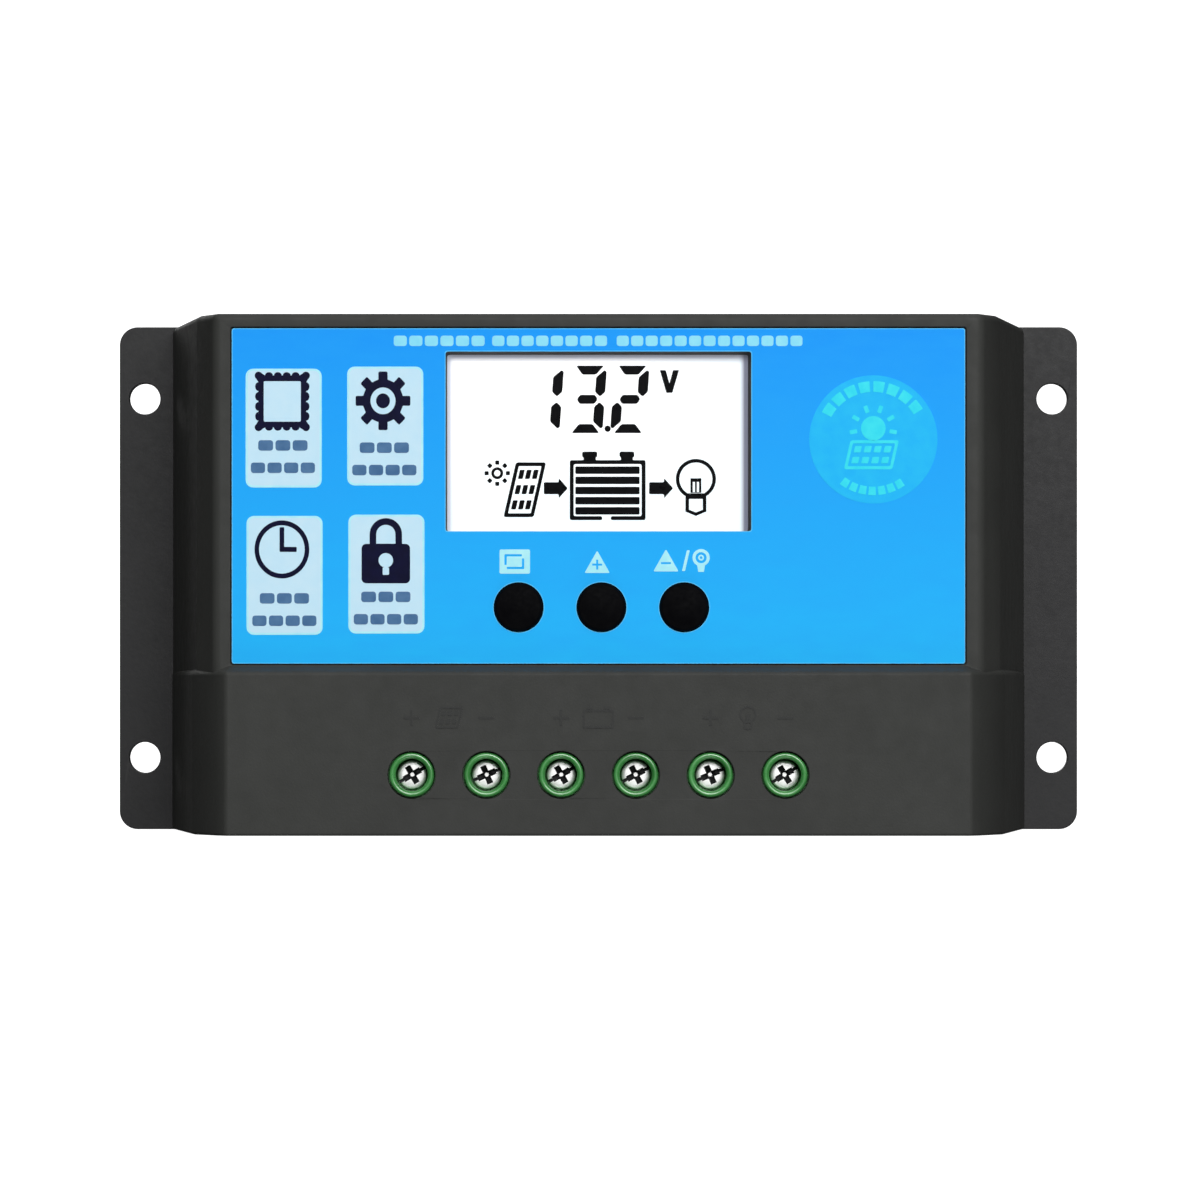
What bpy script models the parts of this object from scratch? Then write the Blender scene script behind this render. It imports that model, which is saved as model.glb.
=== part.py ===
"""Solar charge controller, wall mounted, 133.5 x 70 x 35 mm.

Frame: the origin is the centre of the back plate's rear face, which lies against the wall. +X runs to the
right as the front is faced, +Y points into the wall and +Z is up, so depths towards the viewer are negative Y.
"""

import math

import bmesh
import bpy
from mathutils import Euler, Vector

MM = 0.001

# ---- Driving dimensions -------------------------------------------------------------------------------------

# Back plate: a flat metal sheet whose ends stand out as the two mounting ears
PLATE_WIDTH = 133.5 * MM
HEIGHT = 70.0 * MM
PLATE_THICKNESS = 2.0 * MM
PLATE_CORNER_RADIUS = 2.5 * MM
MOUNT_SPACING_X = 126.5 * MM
MOUNT_SPACING_Z = 50.0 * MM
MOUNT_HOLE_RADIUS = 2.15 * MM

# Front shell: half widths across X, and depths along Y, of the corners of its plan outline
WALL = 2.0 * MM
SHELL_BACK_Y = -2.1 * MM
UPPER_BASE_HALF = 59.0 * MM
UPPER_SIDE_HALF = 54.15 * MM
UPPER_FACE_HALF = 51.5 * MM
UPPER_SIDE_Y = -30.5 * MM
UPPER_FACE_Y = -33.2 * MM
LOWER_BASE_HALF = 59.4 * MM
LOWER_SIDE_HALF = 54.8 * MM
LOWER_FACE_HALF = 50.6 * MM
LOWER_SIDE_Y = -30.8 * MM
LOWER_FACE_Y = -35.0 * MM
STEP_Z = -12.2 * MM
SHELL_EDGE_RADIUS = 1.0 * MM

# Faceplate label, in a shallow recess of the shell's upper face
LABEL_HALF_WIDTH = 49.15 * MM
LABEL_TOP_Z = 33.0 * MM
LABEL_BOTTOM_Z = -11.95 * MM
LABEL_THICKNESS = 0.4 * MM
LABEL_RECESS_DEPTH = 0.5 * MM
LABEL_GAP = 0.2 * MM

# Display window: its opening in the label, and the narrower opening behind its sloping frame
WINDOW_HALF_WIDTH = 20.55 * MM
WINDOW_HALF_HEIGHT = 12.0 * MM
WINDOW_CENTRE_Z = 17.85 * MM
WINDOW_FRAME = 0.7 * MM

# Push buttons
BUTTON_NAMES = ("menu", "up", "down")
BUTTON_PITCH = 11.1 * MM
BUTTON_CENTRE_X = 0.4 * MM
BUTTON_Z = -4.4 * MM
BUTTON_RADIUS = 3.25 * MM
BUTTON_HOLE_RADIUS = 3.45 * MM
BUTTON_TRAVEL = 0.5 * MM

# Circuit board
BOARD_HALF_WIDTH = 44.5 * MM
BOARD_BOTTOM_Z = -32.6 * MM
BOARD_TOP_Z = 31.5 * MM
BOARD_FRONT_Y = -14.6 * MM
BOARD_THICKNESS = 1.6 * MM
BOARD_SCREW_X = 40.5 * MM
BOARD_SCREW_Z = 27.5 * MM

# Terminal block: six rising-cage clamps side by side
WAYS = 6
WAY_PITCH = 10.0 * MM
SCREW_Z = -26.85 * MM
HOUSING_HALF_WIDTH = 30.3 * MM
HOUSING_FRONT_Y = -32.8 * MM
HOUSING_BOTTOM_Z = -34.7 * MM
HOUSING_TOP_Z = -20.4 * MM
COLLAR_RADIUS = 3.0 * MM
COLLAR_FRONT_Y = -34.6 * MM
WELL_RADIUS = 2.25 * MM
COLLAR_HOLE_RADIUS = 3.2 * MM
CAVITY_HALF_WIDTH = 4.3 * MM
CAVITY_FRONT_Y = -29.8 * MM
CAVITY_BACK_Y = -15.2 * MM
CAVITY_BOTTOM_Z = -33.4 * MM
CAVITY_TOP_Z = -21.6 * MM
CLAMP_TRAVEL = 4.1 * MM

# Plate screws, which hold the plate to the shell's four bosses
PLATE_SCREW_X = 48.2 * MM
PLATE_SCREW_Z = 30.5 * MM
BOSS_RADIUS = 3.0 * MM

# Running clearance between parts that rest on each other
GAP = 0.1 * MM

ROUND_STEPS = 24
SMALL_ROUND_STEPS = 16

BOARD_BACK_Y = BOARD_FRONT_Y + BOARD_THICKNESS
ON_BOARD_Y = BOARD_FRONT_Y - GAP
SHELL_INSIDE_Y = UPPER_FACE_Y + WALL
WAY_XS = [(way - (WAYS - 1) / 2) * WAY_PITCH for way in range(WAYS)]
BUTTON_XS = [BUTTON_CENTRE_X + (n - 1) * BUTTON_PITCH for n in range(3)]

# A turned part's own Z axis points at the viewer or at the wall
FACING_FRONT = (math.radians(90), 0, 0)
FACING_BACK = (math.radians(-90), 0, 0)


# ---- Modelling helpers --------------------------------------------------------------------------------------


def clear_scene():
    for obj in list(bpy.data.objects):
        bpy.data.objects.remove(obj)


def new_collection(name, is_helper=False):
    collection = bpy.data.collections.new(name)
    bpy.context.scene.collection.children.link(collection)
    collection.hide_render = is_helper
    return collection


def as_helper(obj):
    """Marks a cutter or a piece that is joined to another: it isn't rendered and isn't a part of its own."""
    obj.hide_render = True
    obj.display_type = "WIRE"
    return obj


def new_object(name, mesh, location=(0, 0, 0), rotation=(0, 0, 0)):
    obj = bpy.data.objects.new(name, mesh)
    HELPERS.objects.link(obj)
    obj.location = location
    obj.rotation_euler = rotation
    return obj


def box(name, low, high):
    """A box between two corners, with its origin at its centre."""
    low, high = Vector(low), Vector(high)
    mesh = bpy.data.meshes.new(name)
    shape = bmesh.new()
    bmesh.ops.create_cube(shape, size=1.0)
    bmesh.ops.scale(shape, vec=high - low, verts=shape.verts)
    shape.to_mesh(mesh)
    shape.free()
    return new_object(name, mesh, (low + high) / 2)


def rod(name, radius, x, z, y_front, y_back, steps=ROUND_STEPS, back_radius=None):
    """A cylinder or cone along Y. radius is at its front end."""
    mesh = bpy.data.meshes.new(name)
    shape = bmesh.new()
    bmesh.ops.create_cone(
        shape,
        cap_ends=True,
        segments=steps,
        radius1=radius if back_radius is None else back_radius,
        radius2=radius,
        depth=y_back - y_front,
    )
    shape.to_mesh(mesh)
    shape.free()
    return new_object(name, mesh, (x, (y_front + y_back) / 2, z), FACING_FRONT)


def turned(name, profile, location, rotation=FACING_FRONT, steps=ROUND_STEPS, is_ring=False):
    """A turned solid. profile lists (radius, height) in mm from the top centre down the outer side."""
    points = [(radius * MM, 0, height * MM) for radius, height in profile]
    edges = [(n, n + 1) for n in range(len(points) - 1)]
    if is_ring:
        edges.append((len(points) - 1, 0))
    mesh = bpy.data.meshes.new(name)
    mesh.from_pydata(points, edges, [])
    obj = new_object(name, mesh, location, rotation)
    screw = obj.modifiers.new("turn", "SCREW")
    screw.axis = "Z"
    screw.steps = steps
    screw.render_steps = steps
    screw.use_merge_vertices = True
    screw.merge_threshold = 0.00001
    return obj


def rounded_outline(half_width, half_height, radius, arc_points=5):
    """The corners of a rectangle with rounded corners, counterclockwise."""
    points = []
    for sign_x, sign_y, start in ((1, -1, -90), (1, 1, 0), (-1, 1, 90), (-1, -1, 180)):
        centre_x = sign_x * (half_width - radius)
        centre_y = sign_y * (half_height - radius)
        for step in range(arc_points):
            angle = math.radians(start + 90 * step / (arc_points - 1))
            points.append((centre_x + radius * math.cos(angle), centre_y + radius * math.sin(angle)))
    return points


def as_mesh(name, drawn):
    """Replaces a curve object by one closed mesh object in the same place."""
    bpy.context.view_layer.update()
    evaluated = drawn.evaluated_get(bpy.context.evaluated_depsgraph_get())
    mesh = bpy.data.meshes.new_from_object(evaluated)
    mesh.name = name
    shape = bmesh.new()
    shape.from_mesh(mesh)
    bmesh.ops.remove_doubles(shape, verts=shape.verts, dist=0.000001)
    bmesh.ops.dissolve_limit(shape, angle_limit=0.001, verts=shape.verts, edges=shape.edges)
    shape.to_mesh(mesh)
    shape.free()
    obj = new_object(name, mesh)
    obj.matrix_world = drawn.matrix_world
    bpy.data.objects.remove(drawn)
    return obj


def flat_outline(name, outline, thickness, location, rotation=(0, 0, 0)):
    """A closed outline in the object's own XY plane, with the thickness shared either side, as a mesh."""
    curve = bpy.data.curves.new(name, "CURVE")
    curve.dimensions = "2D"
    curve.fill_mode = "BOTH"
    curve.extrude = thickness / 2
    spline = curve.splines.new("POLY")
    spline.points.add(len(outline) - 1)
    for point, (x, y) in zip(spline.points, outline):
        point.co = (x, y, 0, 1)
    spline.use_cyclic_u = True
    return as_mesh(name, new_object(name + "_curve", curve, location, rotation))


def bevel(obj, width, segments=2, over_degrees=60):
    modifier = obj.modifiers.new("rounded edges", "BEVEL")
    modifier.width = width
    modifier.segments = segments
    modifier.limit_method = "ANGLE"
    modifier.angle_limit = math.radians(over_degrees)
    return obj


def combine(obj, operation, others):
    """One Boolean on obj with every other object. The others become helpers."""
    group = bpy.data.collections.new(obj.name + "_" + operation.lower())
    HELPERS.children.link(group)
    for other in others:
        as_helper(other)
        group.objects.link(other)
        HELPERS.objects.unlink(other)
    modifier = obj.modifiers.new(operation.lower(), "BOOLEAN")
    modifier.operation = operation
    modifier.operand_type = "COLLECTION"
    modifier.collection = group
    modifier.solver = "EXACT"
    return obj


def cut(obj, *cutters):
    return combine(obj, "DIFFERENCE", cutters)


def join(obj, *others):
    return combine(obj, "UNION", others)


def smooth_rounds(obj, angle=35):
    if obj.type == "MESH":
        obj.data.shade_smooth()
        obj.data.set_sharp_from_angle(angle=math.radians(angle))


def part(obj, material, parent=None):
    """Moves a finished object from the helpers to the parts, with its material."""
    HELPERS.objects.unlink(obj)
    PARTS.objects.link(obj)
    obj.data.materials.append(material)
    smooth_rounds(obj)
    if parent is not None:
        obj.parent = parent
        obj.matrix_parent_inverse = parent.matrix_world.inverted()
    return obj


def pivot(name, location):
    """An empty on a moving part's axis, which carries the pieces that move together."""
    empty = bpy.data.objects.new(name, None)
    PARTS.objects.link(empty)
    empty.location = location
    empty.empty_display_size = 0.005
    bpy.context.view_layer.update()
    return empty


def material(name, colour, roughness, metallic=0.0, alpha=1.0):
    made = bpy.data.materials.new(name)
    made.use_nodes = True
    shader = made.node_tree.nodes["Principled BSDF"]
    shader.inputs["Base Color"].default_value = (*colour, 1.0)
    shader.inputs["Roughness"].default_value = roughness
    shader.inputs["Metallic"].default_value = metallic
    shader.inputs["Alpha"].default_value = alpha
    made.diffuse_color = (*colour, alpha)
    return made


def make_materials():
    return {
        "case": material("case_plastic", (0.045, 0.045, 0.045), 0.55),
        "plate": material("plate_coating", (0.035, 0.035, 0.036), 0.5, 0.3),
        "label": material("label_film", (0.02, 0.36, 0.95), 0.35),
        "button": material("button_rubber", (0.006, 0.006, 0.007), 0.6),
        "block": material("terminal_plastic", (0.06, 0.30, 0.09), 0.4),
        "plated": material("plated_steel", (0.75, 0.76, 0.74), 0.25, 1.0),
        "brass": material("tinned_brass", (0.72, 0.66, 0.48), 0.35, 1.0),
        "screw": material("black_steel", (0.05, 0.05, 0.055), 0.35, 0.9),
        "board": material("solder_mask", (0.015, 0.12, 0.04), 0.35),
        "glass": material("display_glass", (0.85, 0.9, 0.88), 0.05, 0.0, 0.4),
        "film": material("polariser_film", (0.7, 0.75, 0.72), 0.15, 0.0, 0.4),
        "light": material("backlight_acrylic", (0.9, 0.93, 0.95), 0.3),
        "holder": material("holder_plastic", (0.8, 0.8, 0.78), 0.5),
        "black": material("moulded_epoxy", (0.02, 0.02, 0.02), 0.5),
        "sleeve": material("capacitor_sleeve", (0.02, 0.03, 0.08), 0.4),
        "pad": material("silicone_pad", (0.45, 0.5, 0.55), 0.7),
        "copper": material("tinned_copper", (0.75, 0.7, 0.65), 0.3, 1.0),
        "switch": material("switch_plastic", (0.03, 0.03, 0.03), 0.5),
    }


# ---- Case ---------------------------------------------------------------------------------------------------


def plan_outline(base_half, side_half, face_half, side_y, face_y):
    """The right half of the shell's plan, from front to back, mirrored into a counterclockwise outline.

    The sides run on past the back face, at the same slope, and are trimmed to it afterwards."""
    past_back = 6.0 * MM
    slope = (base_half - side_half) / (SHELL_BACK_Y - side_y)
    right = [(face_half, face_y), (side_half, side_y), (base_half + slope * past_back, SHELL_BACK_Y + past_back)]
    left = [(-x, y) for x, y in reversed(right)]
    return right + left


def inset(outline, distance):
    """The outline moved inwards by distance. Each corner is where its two moved sides meet.

    The outline runs counterclockwise, so inwards is to the left of each side."""
    count = len(outline)
    sides = []
    for n in range(count):
        start, end = Vector(outline[n]), Vector(outline[(n + 1) % count])
        along = (end - start).normalized()
        inwards = Vector((-along.y, along.x))
        sides.append((start + inwards * distance, along))
    corners = []
    for n in range(count):
        (point_a, along_a), (point_b, along_b) = sides[n - 1], sides[n]
        across = along_a.x * along_b.y - along_a.y * along_b.x
        offset = point_b - point_a
        reach = (offset.x * along_b.y - offset.y * along_b.x) / across
        corners.append(tuple(point_a + along_a * reach))
    return corners


def shell_block(name, outline, bottom_z, top_z):
    """A block with the given plan outline, standing between two heights."""
    return flat_outline(name, outline, top_z - bottom_z, (0, 0, (bottom_z + top_z) / 2))


def window_cutter():
    """The display opening: a box whose front end flares into the sloping frame."""
    flare_y = UPPER_FACE_Y + LABEL_RECESS_DEPTH
    back_y = SHELL_INSIDE_Y + 0.5 * MM
    front_y = flare_y - 0.5 * MM
    opening = box(
        "window_cutter",
        (-WINDOW_HALF_WIDTH, front_y, WINDOW_CENTRE_Z - WINDOW_HALF_HEIGHT),
        (WINDOW_HALF_WIDTH, back_y, WINDOW_CENTRE_Z + WINDOW_HALF_HEIGHT),
    )
    run = (back_y - front_y) / (SHELL_INSIDE_Y - flare_y) * WINDOW_FRAME
    start = (flare_y - front_y) / (SHELL_INSIDE_Y - flare_y) * WINDOW_FRAME
    for vertex in opening.data.vertices:
        grown = start if vertex.co.y < 0 else start - run
        vertex.co.x += math.copysign(grown, vertex.co.x)
        vertex.co.z += math.copysign(grown, vertex.co.z)
    return opening


def front_shell(material):
    upper = plan_outline(UPPER_BASE_HALF, UPPER_SIDE_HALF, UPPER_FACE_HALF, UPPER_SIDE_Y, UPPER_FACE_Y)
    lower = plan_outline(LOWER_BASE_HALF, LOWER_SIDE_HALF, LOWER_FACE_HALF, LOWER_SIDE_Y, LOWER_FACE_Y)
    half = HEIGHT / 2

    shell = bevel(shell_block("front_shell", upper, -half, half), SHELL_EDGE_RADIUS)
    join(shell, bevel(shell_block("terminal_section", lower, -half, STEP_Z), SHELL_EDGE_RADIUS))

    cut(
        shell,
        shell_block("upper_cavity", inset(upper, WALL), -half + WALL, half - WALL),
        shell_block("lower_cavity", inset(lower, WALL), -half + WALL, STEP_Z - WALL),
        box("back_trim", (-0.1, SHELL_BACK_Y, -0.1), (0.1, 0.05, 0.1)),
    )

    bosses = []
    for side in (-1, 1):
        for level, wall_y in ((-1, LOWER_FACE_Y + 0.8 * WALL), (1, UPPER_FACE_Y + 0.8 * WALL)):
            plate_x, plate_z = side * PLATE_SCREW_X, level * PLATE_SCREW_Z
            board_x, board_z = side * BOARD_SCREW_X, level * BOARD_SCREW_Z
            bosses.append(rod("boss", BOSS_RADIUS, plate_x, plate_z, wall_y, SHELL_BACK_Y - 0.2 * MM, 20))
            bosses.append(rod("post", 2.5 * MM, board_x, board_z, wall_y, ON_BOARD_Y, SMALL_ROUND_STEPS))
    join(shell, *bosses)

    openings = [
        box(
            "label_recess",
            (-LABEL_HALF_WIDTH - LABEL_GAP, UPPER_FACE_Y - 1 * MM, LABEL_BOTTOM_Z - LABEL_GAP),
            (LABEL_HALF_WIDTH + LABEL_GAP, UPPER_FACE_Y + LABEL_RECESS_DEPTH, LABEL_TOP_Z + LABEL_GAP),
        ),
        window_cutter(),
        box(
            "block_opening",
            (-HOUSING_HALF_WIDTH - 0.3 * MM, LOWER_FACE_Y + WALL, -half - 1 * MM),
            (HOUSING_HALF_WIDTH + 0.3 * MM, BOARD_FRONT_Y + 0.4 * MM, -half + WALL + 1 * MM),
        ),
    ]
    for x in BUTTON_XS:
        openings.append(
            rod("button_hole", BUTTON_HOLE_RADIUS, x, BUTTON_Z, UPPER_FACE_Y - 1 * MM, SHELL_INSIDE_Y + 1 * MM)
        )
    for x in WAY_XS:
        openings.append(
            rod("collar_hole", COLLAR_HOLE_RADIUS, x, SCREW_Z, LOWER_FACE_Y - 1 * MM, LOWER_FACE_Y + WALL + 1 * MM)
        )
    for side in (-1, 1):
        for level in (-1, 1):
            openings.append(
                rod("boss_pilot", 1.5 * MM, side * PLATE_SCREW_X, level * PLATE_SCREW_Z, -14 * MM, 0, SMALL_ROUND_STEPS)
            )
            openings.append(
                rod(
                    "post_pilot",
                    1.25 * MM,
                    side * BOARD_SCREW_X,
                    level * BOARD_SCREW_Z,
                    -22 * MM,
                    -13 * MM,
                    SMALL_ROUND_STEPS,
                )
            )
    cut(shell, *openings)
    return part(shell, material)


def back_plate(material):
    plate = flat_outline(
        "back_plate",
        rounded_outline(PLATE_WIDTH / 2, HEIGHT / 2, PLATE_CORNER_RADIUS),
        PLATE_THICKNESS,
        (0, -PLATE_THICKNESS / 2, 0),
        FACING_FRONT,
    )
    holes = []
    for side in (-1, 1):
        for level in (-1, 1):
            x, z = side * MOUNT_SPACING_X / 2, level * MOUNT_SPACING_Z / 2
            holes.append(rod("mount_hole", MOUNT_HOLE_RADIUS, x, z, -4 * MM, 1 * MM))
            place = (side * PLATE_SCREW_X, 0, level * PLATE_SCREW_Z)
            countersink = [(0, 1), (2.95, 1), (2.95, -0.1), (1.6, -1.45), (1.6, -3), (0, -3)]
            holes.append(turned("countersink", countersink, place, FACING_BACK, 20))
    cut(plate, *holes)
    return part(plate, material)


def faceplate_label(material):
    label = box(
        "faceplate_label",
        (-LABEL_HALF_WIDTH, UPPER_FACE_Y, LABEL_BOTTOM_Z),
        (LABEL_HALF_WIDTH, UPPER_FACE_Y + LABEL_THICKNESS, LABEL_TOP_Z),
    )
    openings = [
        box(
            "label_window",
            (-WINDOW_HALF_WIDTH, UPPER_FACE_Y - 1 * MM, WINDOW_CENTRE_Z - WINDOW_HALF_HEIGHT),
            (WINDOW_HALF_WIDTH, UPPER_FACE_Y + 1 * MM, WINDOW_CENTRE_Z + WINDOW_HALF_HEIGHT),
        )
    ]
    for x in BUTTON_XS:
        front_y, back_y = UPPER_FACE_Y - 1 * MM, UPPER_FACE_Y + 1 * MM
        openings.append(rod("label_button_hole", BUTTON_HOLE_RADIUS, x, BUTTON_Z, front_y, back_y))
    cut(label, *openings)
    return part(label, material)


def cross_recess(name, arm, width, depth):
    """Two crossed cutters for a Phillips recess, sunk to depth below a turned part's top at the origin."""
    return [
        box(name, (-arm, -width, -depth), (arm, width, 1 * MM)),
        box(name, (-width, -arm, -depth), (width, arm, 1 * MM)),
    ]


def stand_on(cutters, obj, raised=0.0, twist=0.0):
    """Puts cutters made around the origin into a turned part's own frame, raised along its axis."""
    frame = obj.rotation_euler.to_matrix() @ Euler((0, 0, twist)).to_matrix()
    for cutter in cutters:
        cutter.data.transform(cutter.matrix_basis)
        cutter.location = obj.matrix_basis @ Vector((0, 0, raised))
        cutter.rotation_euler = frame.to_euler()
    return cutters


def plate_screws(material):
    profile = [(0, 0), (2.75, 0), (2.75, -0.15), (1.35, -1.55), (1.35, -9.2), (0.7, -10), (0, -10)]
    for number, (side, level) in enumerate(((-1, 1), (1, 1), (-1, -1), (1, -1)), 1):
        place = (side * PLATE_SCREW_X, -0.05 * MM, level * PLATE_SCREW_Z)
        screw = turned(f"plate_screw_{number}", profile, place, FACING_BACK, SMALL_ROUND_STEPS)
        cut(screw, *stand_on(cross_recess("plate_recess", 1.4 * MM, 0.3 * MM, 1.1 * MM), screw))
        part(screw, material)


# ---- Buttons and their switches -----------------------------------------------------------------------------


def buttons(cap_material, body_material, stem_material):
    """Each button is a domed cap with a flange behind the shell, and a socket for its switch's stem."""
    cap_profile = [
        (0, 1.1),
        (1.6, 1.04),
        (2.6, 0.84),
        (3.1, 0.5),
        (BUTTON_RADIUS / MM, 0.05),
        (BUTTON_RADIUS / MM, -2.1),
        (4.1, -2.1),
        (4.1, -3.0),
        (2.3, -3.0),
        (2.3, -7.2),
        (1.85, -7.2),
        (1.85, -4.1),
        (0, -4.1),
    ]
    stem_profile = [(0, 0), (1.5, 0), (1.7, -0.2), (1.7, -13.2), (0, -13.2)]
    stem_front_y = UPPER_FACE_Y + 4.2 * MM
    for name, x in zip(BUTTON_NAMES, BUTTON_XS):
        axis = pivot(f"{name}_button_pivot", (x, UPPER_FACE_Y, BUTTON_Z))
        part(turned(f"button_{name}", cap_profile, (x, UPPER_FACE_Y, BUTTON_Z)), cap_material, axis)
        stem = turned(f"switch_{name}_stem", stem_profile, (x, stem_front_y, BUTTON_Z), steps=SMALL_ROUND_STEPS)
        part(stem, stem_material, axis)

        body = box(
            f"switch_{name}_body",
            (x - 3 * MM, ON_BOARD_Y - 3.6 * MM, BUTTON_Z - 3 * MM),
            (x + 3 * MM, ON_BOARD_Y, BUTTON_Z + 3 * MM),
        )
        bore_back_y = stem_front_y + 13.2 * MM + BUTTON_TRAVEL + GAP
        cut(body, rod("stem_bore", 1.85 * MM, x, BUTTON_Z, ON_BOARD_Y - 5 * MM, bore_back_y, SMALL_ROUND_STEPS))
        part(bevel(body, 0.2 * MM, 1), body_material)


# ---- Circuit board ------------------------------------------------------------------------------------------

MOSFET_XS = (-14 * MM, 0.0, 14 * MM)
MOSFET_LEG_Z = -15.2 * MM
LEG_PITCH = 2.54 * MM
BAR_LEG_HALF_WIDTH = 1.0 * MM
BAR_LEG_LOW_Z = -22.7 * MM
BAR_LEG_HIGH_Z = -21.9 * MM


def leg_offsets():
    return (-LEG_PITCH, 0.0, LEG_PITCH)


def main_board(material):
    board = box(
        "main_board",
        (-BOARD_HALF_WIDTH, BOARD_FRONT_Y, BOARD_BOTTOM_Z),
        (BOARD_HALF_WIDTH, BOARD_BACK_Y, BOARD_TOP_Z),
    )
    before_y, after_y = BOARD_FRONT_Y - 1 * MM, BOARD_BACK_Y + 1 * MM
    holes = []
    for side in (-1, 1):
        for level in (-1, 1):
            x, z = side * BOARD_SCREW_X, level * BOARD_SCREW_Z
            holes.append(rod("board_hole", 1.45 * MM, x, z, before_y, after_y, SMALL_ROUND_STEPS))
    for x in WAY_XS:
        half = BAR_LEG_HALF_WIDTH + GAP * 2
        low_z, high_z = BAR_LEG_LOW_Z - 0.2 * MM, BAR_LEG_HIGH_Z + 0.2 * MM
        holes.append(box("bar_slot", (x - half, before_y, low_z), (x + half, after_y, high_z)))
    for x in MOSFET_XS:
        for offset in leg_offsets():
            centre, half = x + offset, 0.6 * MM
            low, high = (centre - half, before_y, MOSFET_LEG_Z - half), (centre + half, after_y, MOSFET_LEG_Z + half)
            holes.append(box("leg_hole", low, high))
    cut(board, *holes)
    return part(board, material)


def board_screws(material):
    profile = [(0, 1.65), (1.3, 1.55), (2.0, 1.15), (2.25, 0.5), (2.25, 0), (1.12, 0), (1.12, -7.5), (0, -7.5)]
    for number, (side, level) in enumerate(((-1, 1), (1, 1), (-1, -1), (1, -1)), 1):
        place = (side * BOARD_SCREW_X, BOARD_BACK_Y + GAP, level * BOARD_SCREW_Z)
        screw = turned(f"board_screw_{number}", profile, place, FACING_BACK, SMALL_ROUND_STEPS)
        recess = cross_recess("board_screw_recess", 1.1 * MM, 0.25 * MM, 1.0 * MM)
        cut(screw, *stand_on(recess, screw, 1.65 * MM))
        part(screw, material)


def mosfets(material):
    """Three power transistors lie flat on the plate's pad, and their legs turn forward through the board."""
    back_y = -PLATE_THICKNESS - 0.7 * MM
    body_low_z, body_high_z = -11.2 * MM, -2.0 * MM
    leg_y = back_y - 2.4 * MM
    for number, x in enumerate(MOSFET_XS, 1):
        half = 5.0 * MM
        body = box(
            f"mosfet_{number}", (x - half, back_y - 4.5 * MM, body_low_z), (x + half, back_y, body_high_z)
        )
        bevel(body, 0.4 * MM, 1)
        tab = box("tab", (x - half, back_y - 1.3 * MM, body_high_z - 1 * MM), (x + half, back_y, 4.4 * MM))
        join(body, tab)
        for offset in leg_offsets():
            centre, thin = x + offset, 0.3 * MM
            run = box(
                "leg_run",
                (centre - 0.4 * MM, leg_y - thin, MOSFET_LEG_Z - thin),
                (centre + 0.4 * MM, leg_y + thin, body_low_z + 1 * MM),
            )
            rise = box(
                "leg_rise",
                (centre - 0.4 * MM, BOARD_FRONT_Y - 0.8 * MM, MOSFET_LEG_Z - thin),
                (centre + 0.4 * MM, leg_y + thin / 2, MOSFET_LEG_Z + thin),
            )
            join(body, run, rise)
        cut(body, rod("tab_hole", 1.8 * MM, x, 1.4 * MM, back_y - 3 * MM, back_y + 1 * MM, SMALL_ROUND_STEPS))
        part(body, material)


def thermal_pad(material):
    front_y, back_y = -PLATE_THICKNESS - 0.6 * MM, -PLATE_THICKNESS - GAP
    return part(box("thermal_pad", (-21 * MM, front_y, -12.5 * MM), (21 * MM, back_y, 5.5 * MM)), material)


def capacitors(material):
    for name, radius, height, x, z in (("bulk", 5.0, 15.8, 34.0, 13.0), ("output", 4.0, 12.0, 34.0, -2.5)):
        profile = [
            (0, height - 0.3),
            (radius - 0.9, height - 0.3),
            (radius - 0.7, height),
            (radius - 0.3, height),
            (radius, height - 0.4),
            (radius, 2.4),
            (radius - 0.35, 2.0),
            (radius - 0.35, 1.6),
            (radius, 1.2),
            (radius, 0.3),
            (radius - 0.3, 0),
            (0, 0),
        ]
        part(turned(f"{name}_capacitor", profile, (x * MM, ON_BOARD_Y, z * MM), steps=20), material)


def gull_wing_chip(name, x, z, half_width, half_height, thickness, pins, material):
    """A chip with a row of pins down its two long sides, joined to its body."""
    chip = box(
        name,
        (x - half_width, ON_BOARD_Y - thickness, z - half_height),
        (x + half_width, ON_BOARD_Y - 0.15 * MM, z + half_height),
    )
    bevel(chip, 0.15 * MM, 1)
    pitch = 2 * half_width / pins
    legs = []
    for pin in range(pins):
        centre = x - half_width + (pin + 0.5) * pitch
        low = (centre - pitch * 0.18, ON_BOARD_Y - 0.5 * MM, z - half_height - 1 * MM)
        high = (centre + pitch * 0.18, ON_BOARD_Y, z + half_height + 1 * MM)
        legs.append(box("chip_leg", low, high))
    join(chip, *legs)
    return part(chip, material)


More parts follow.
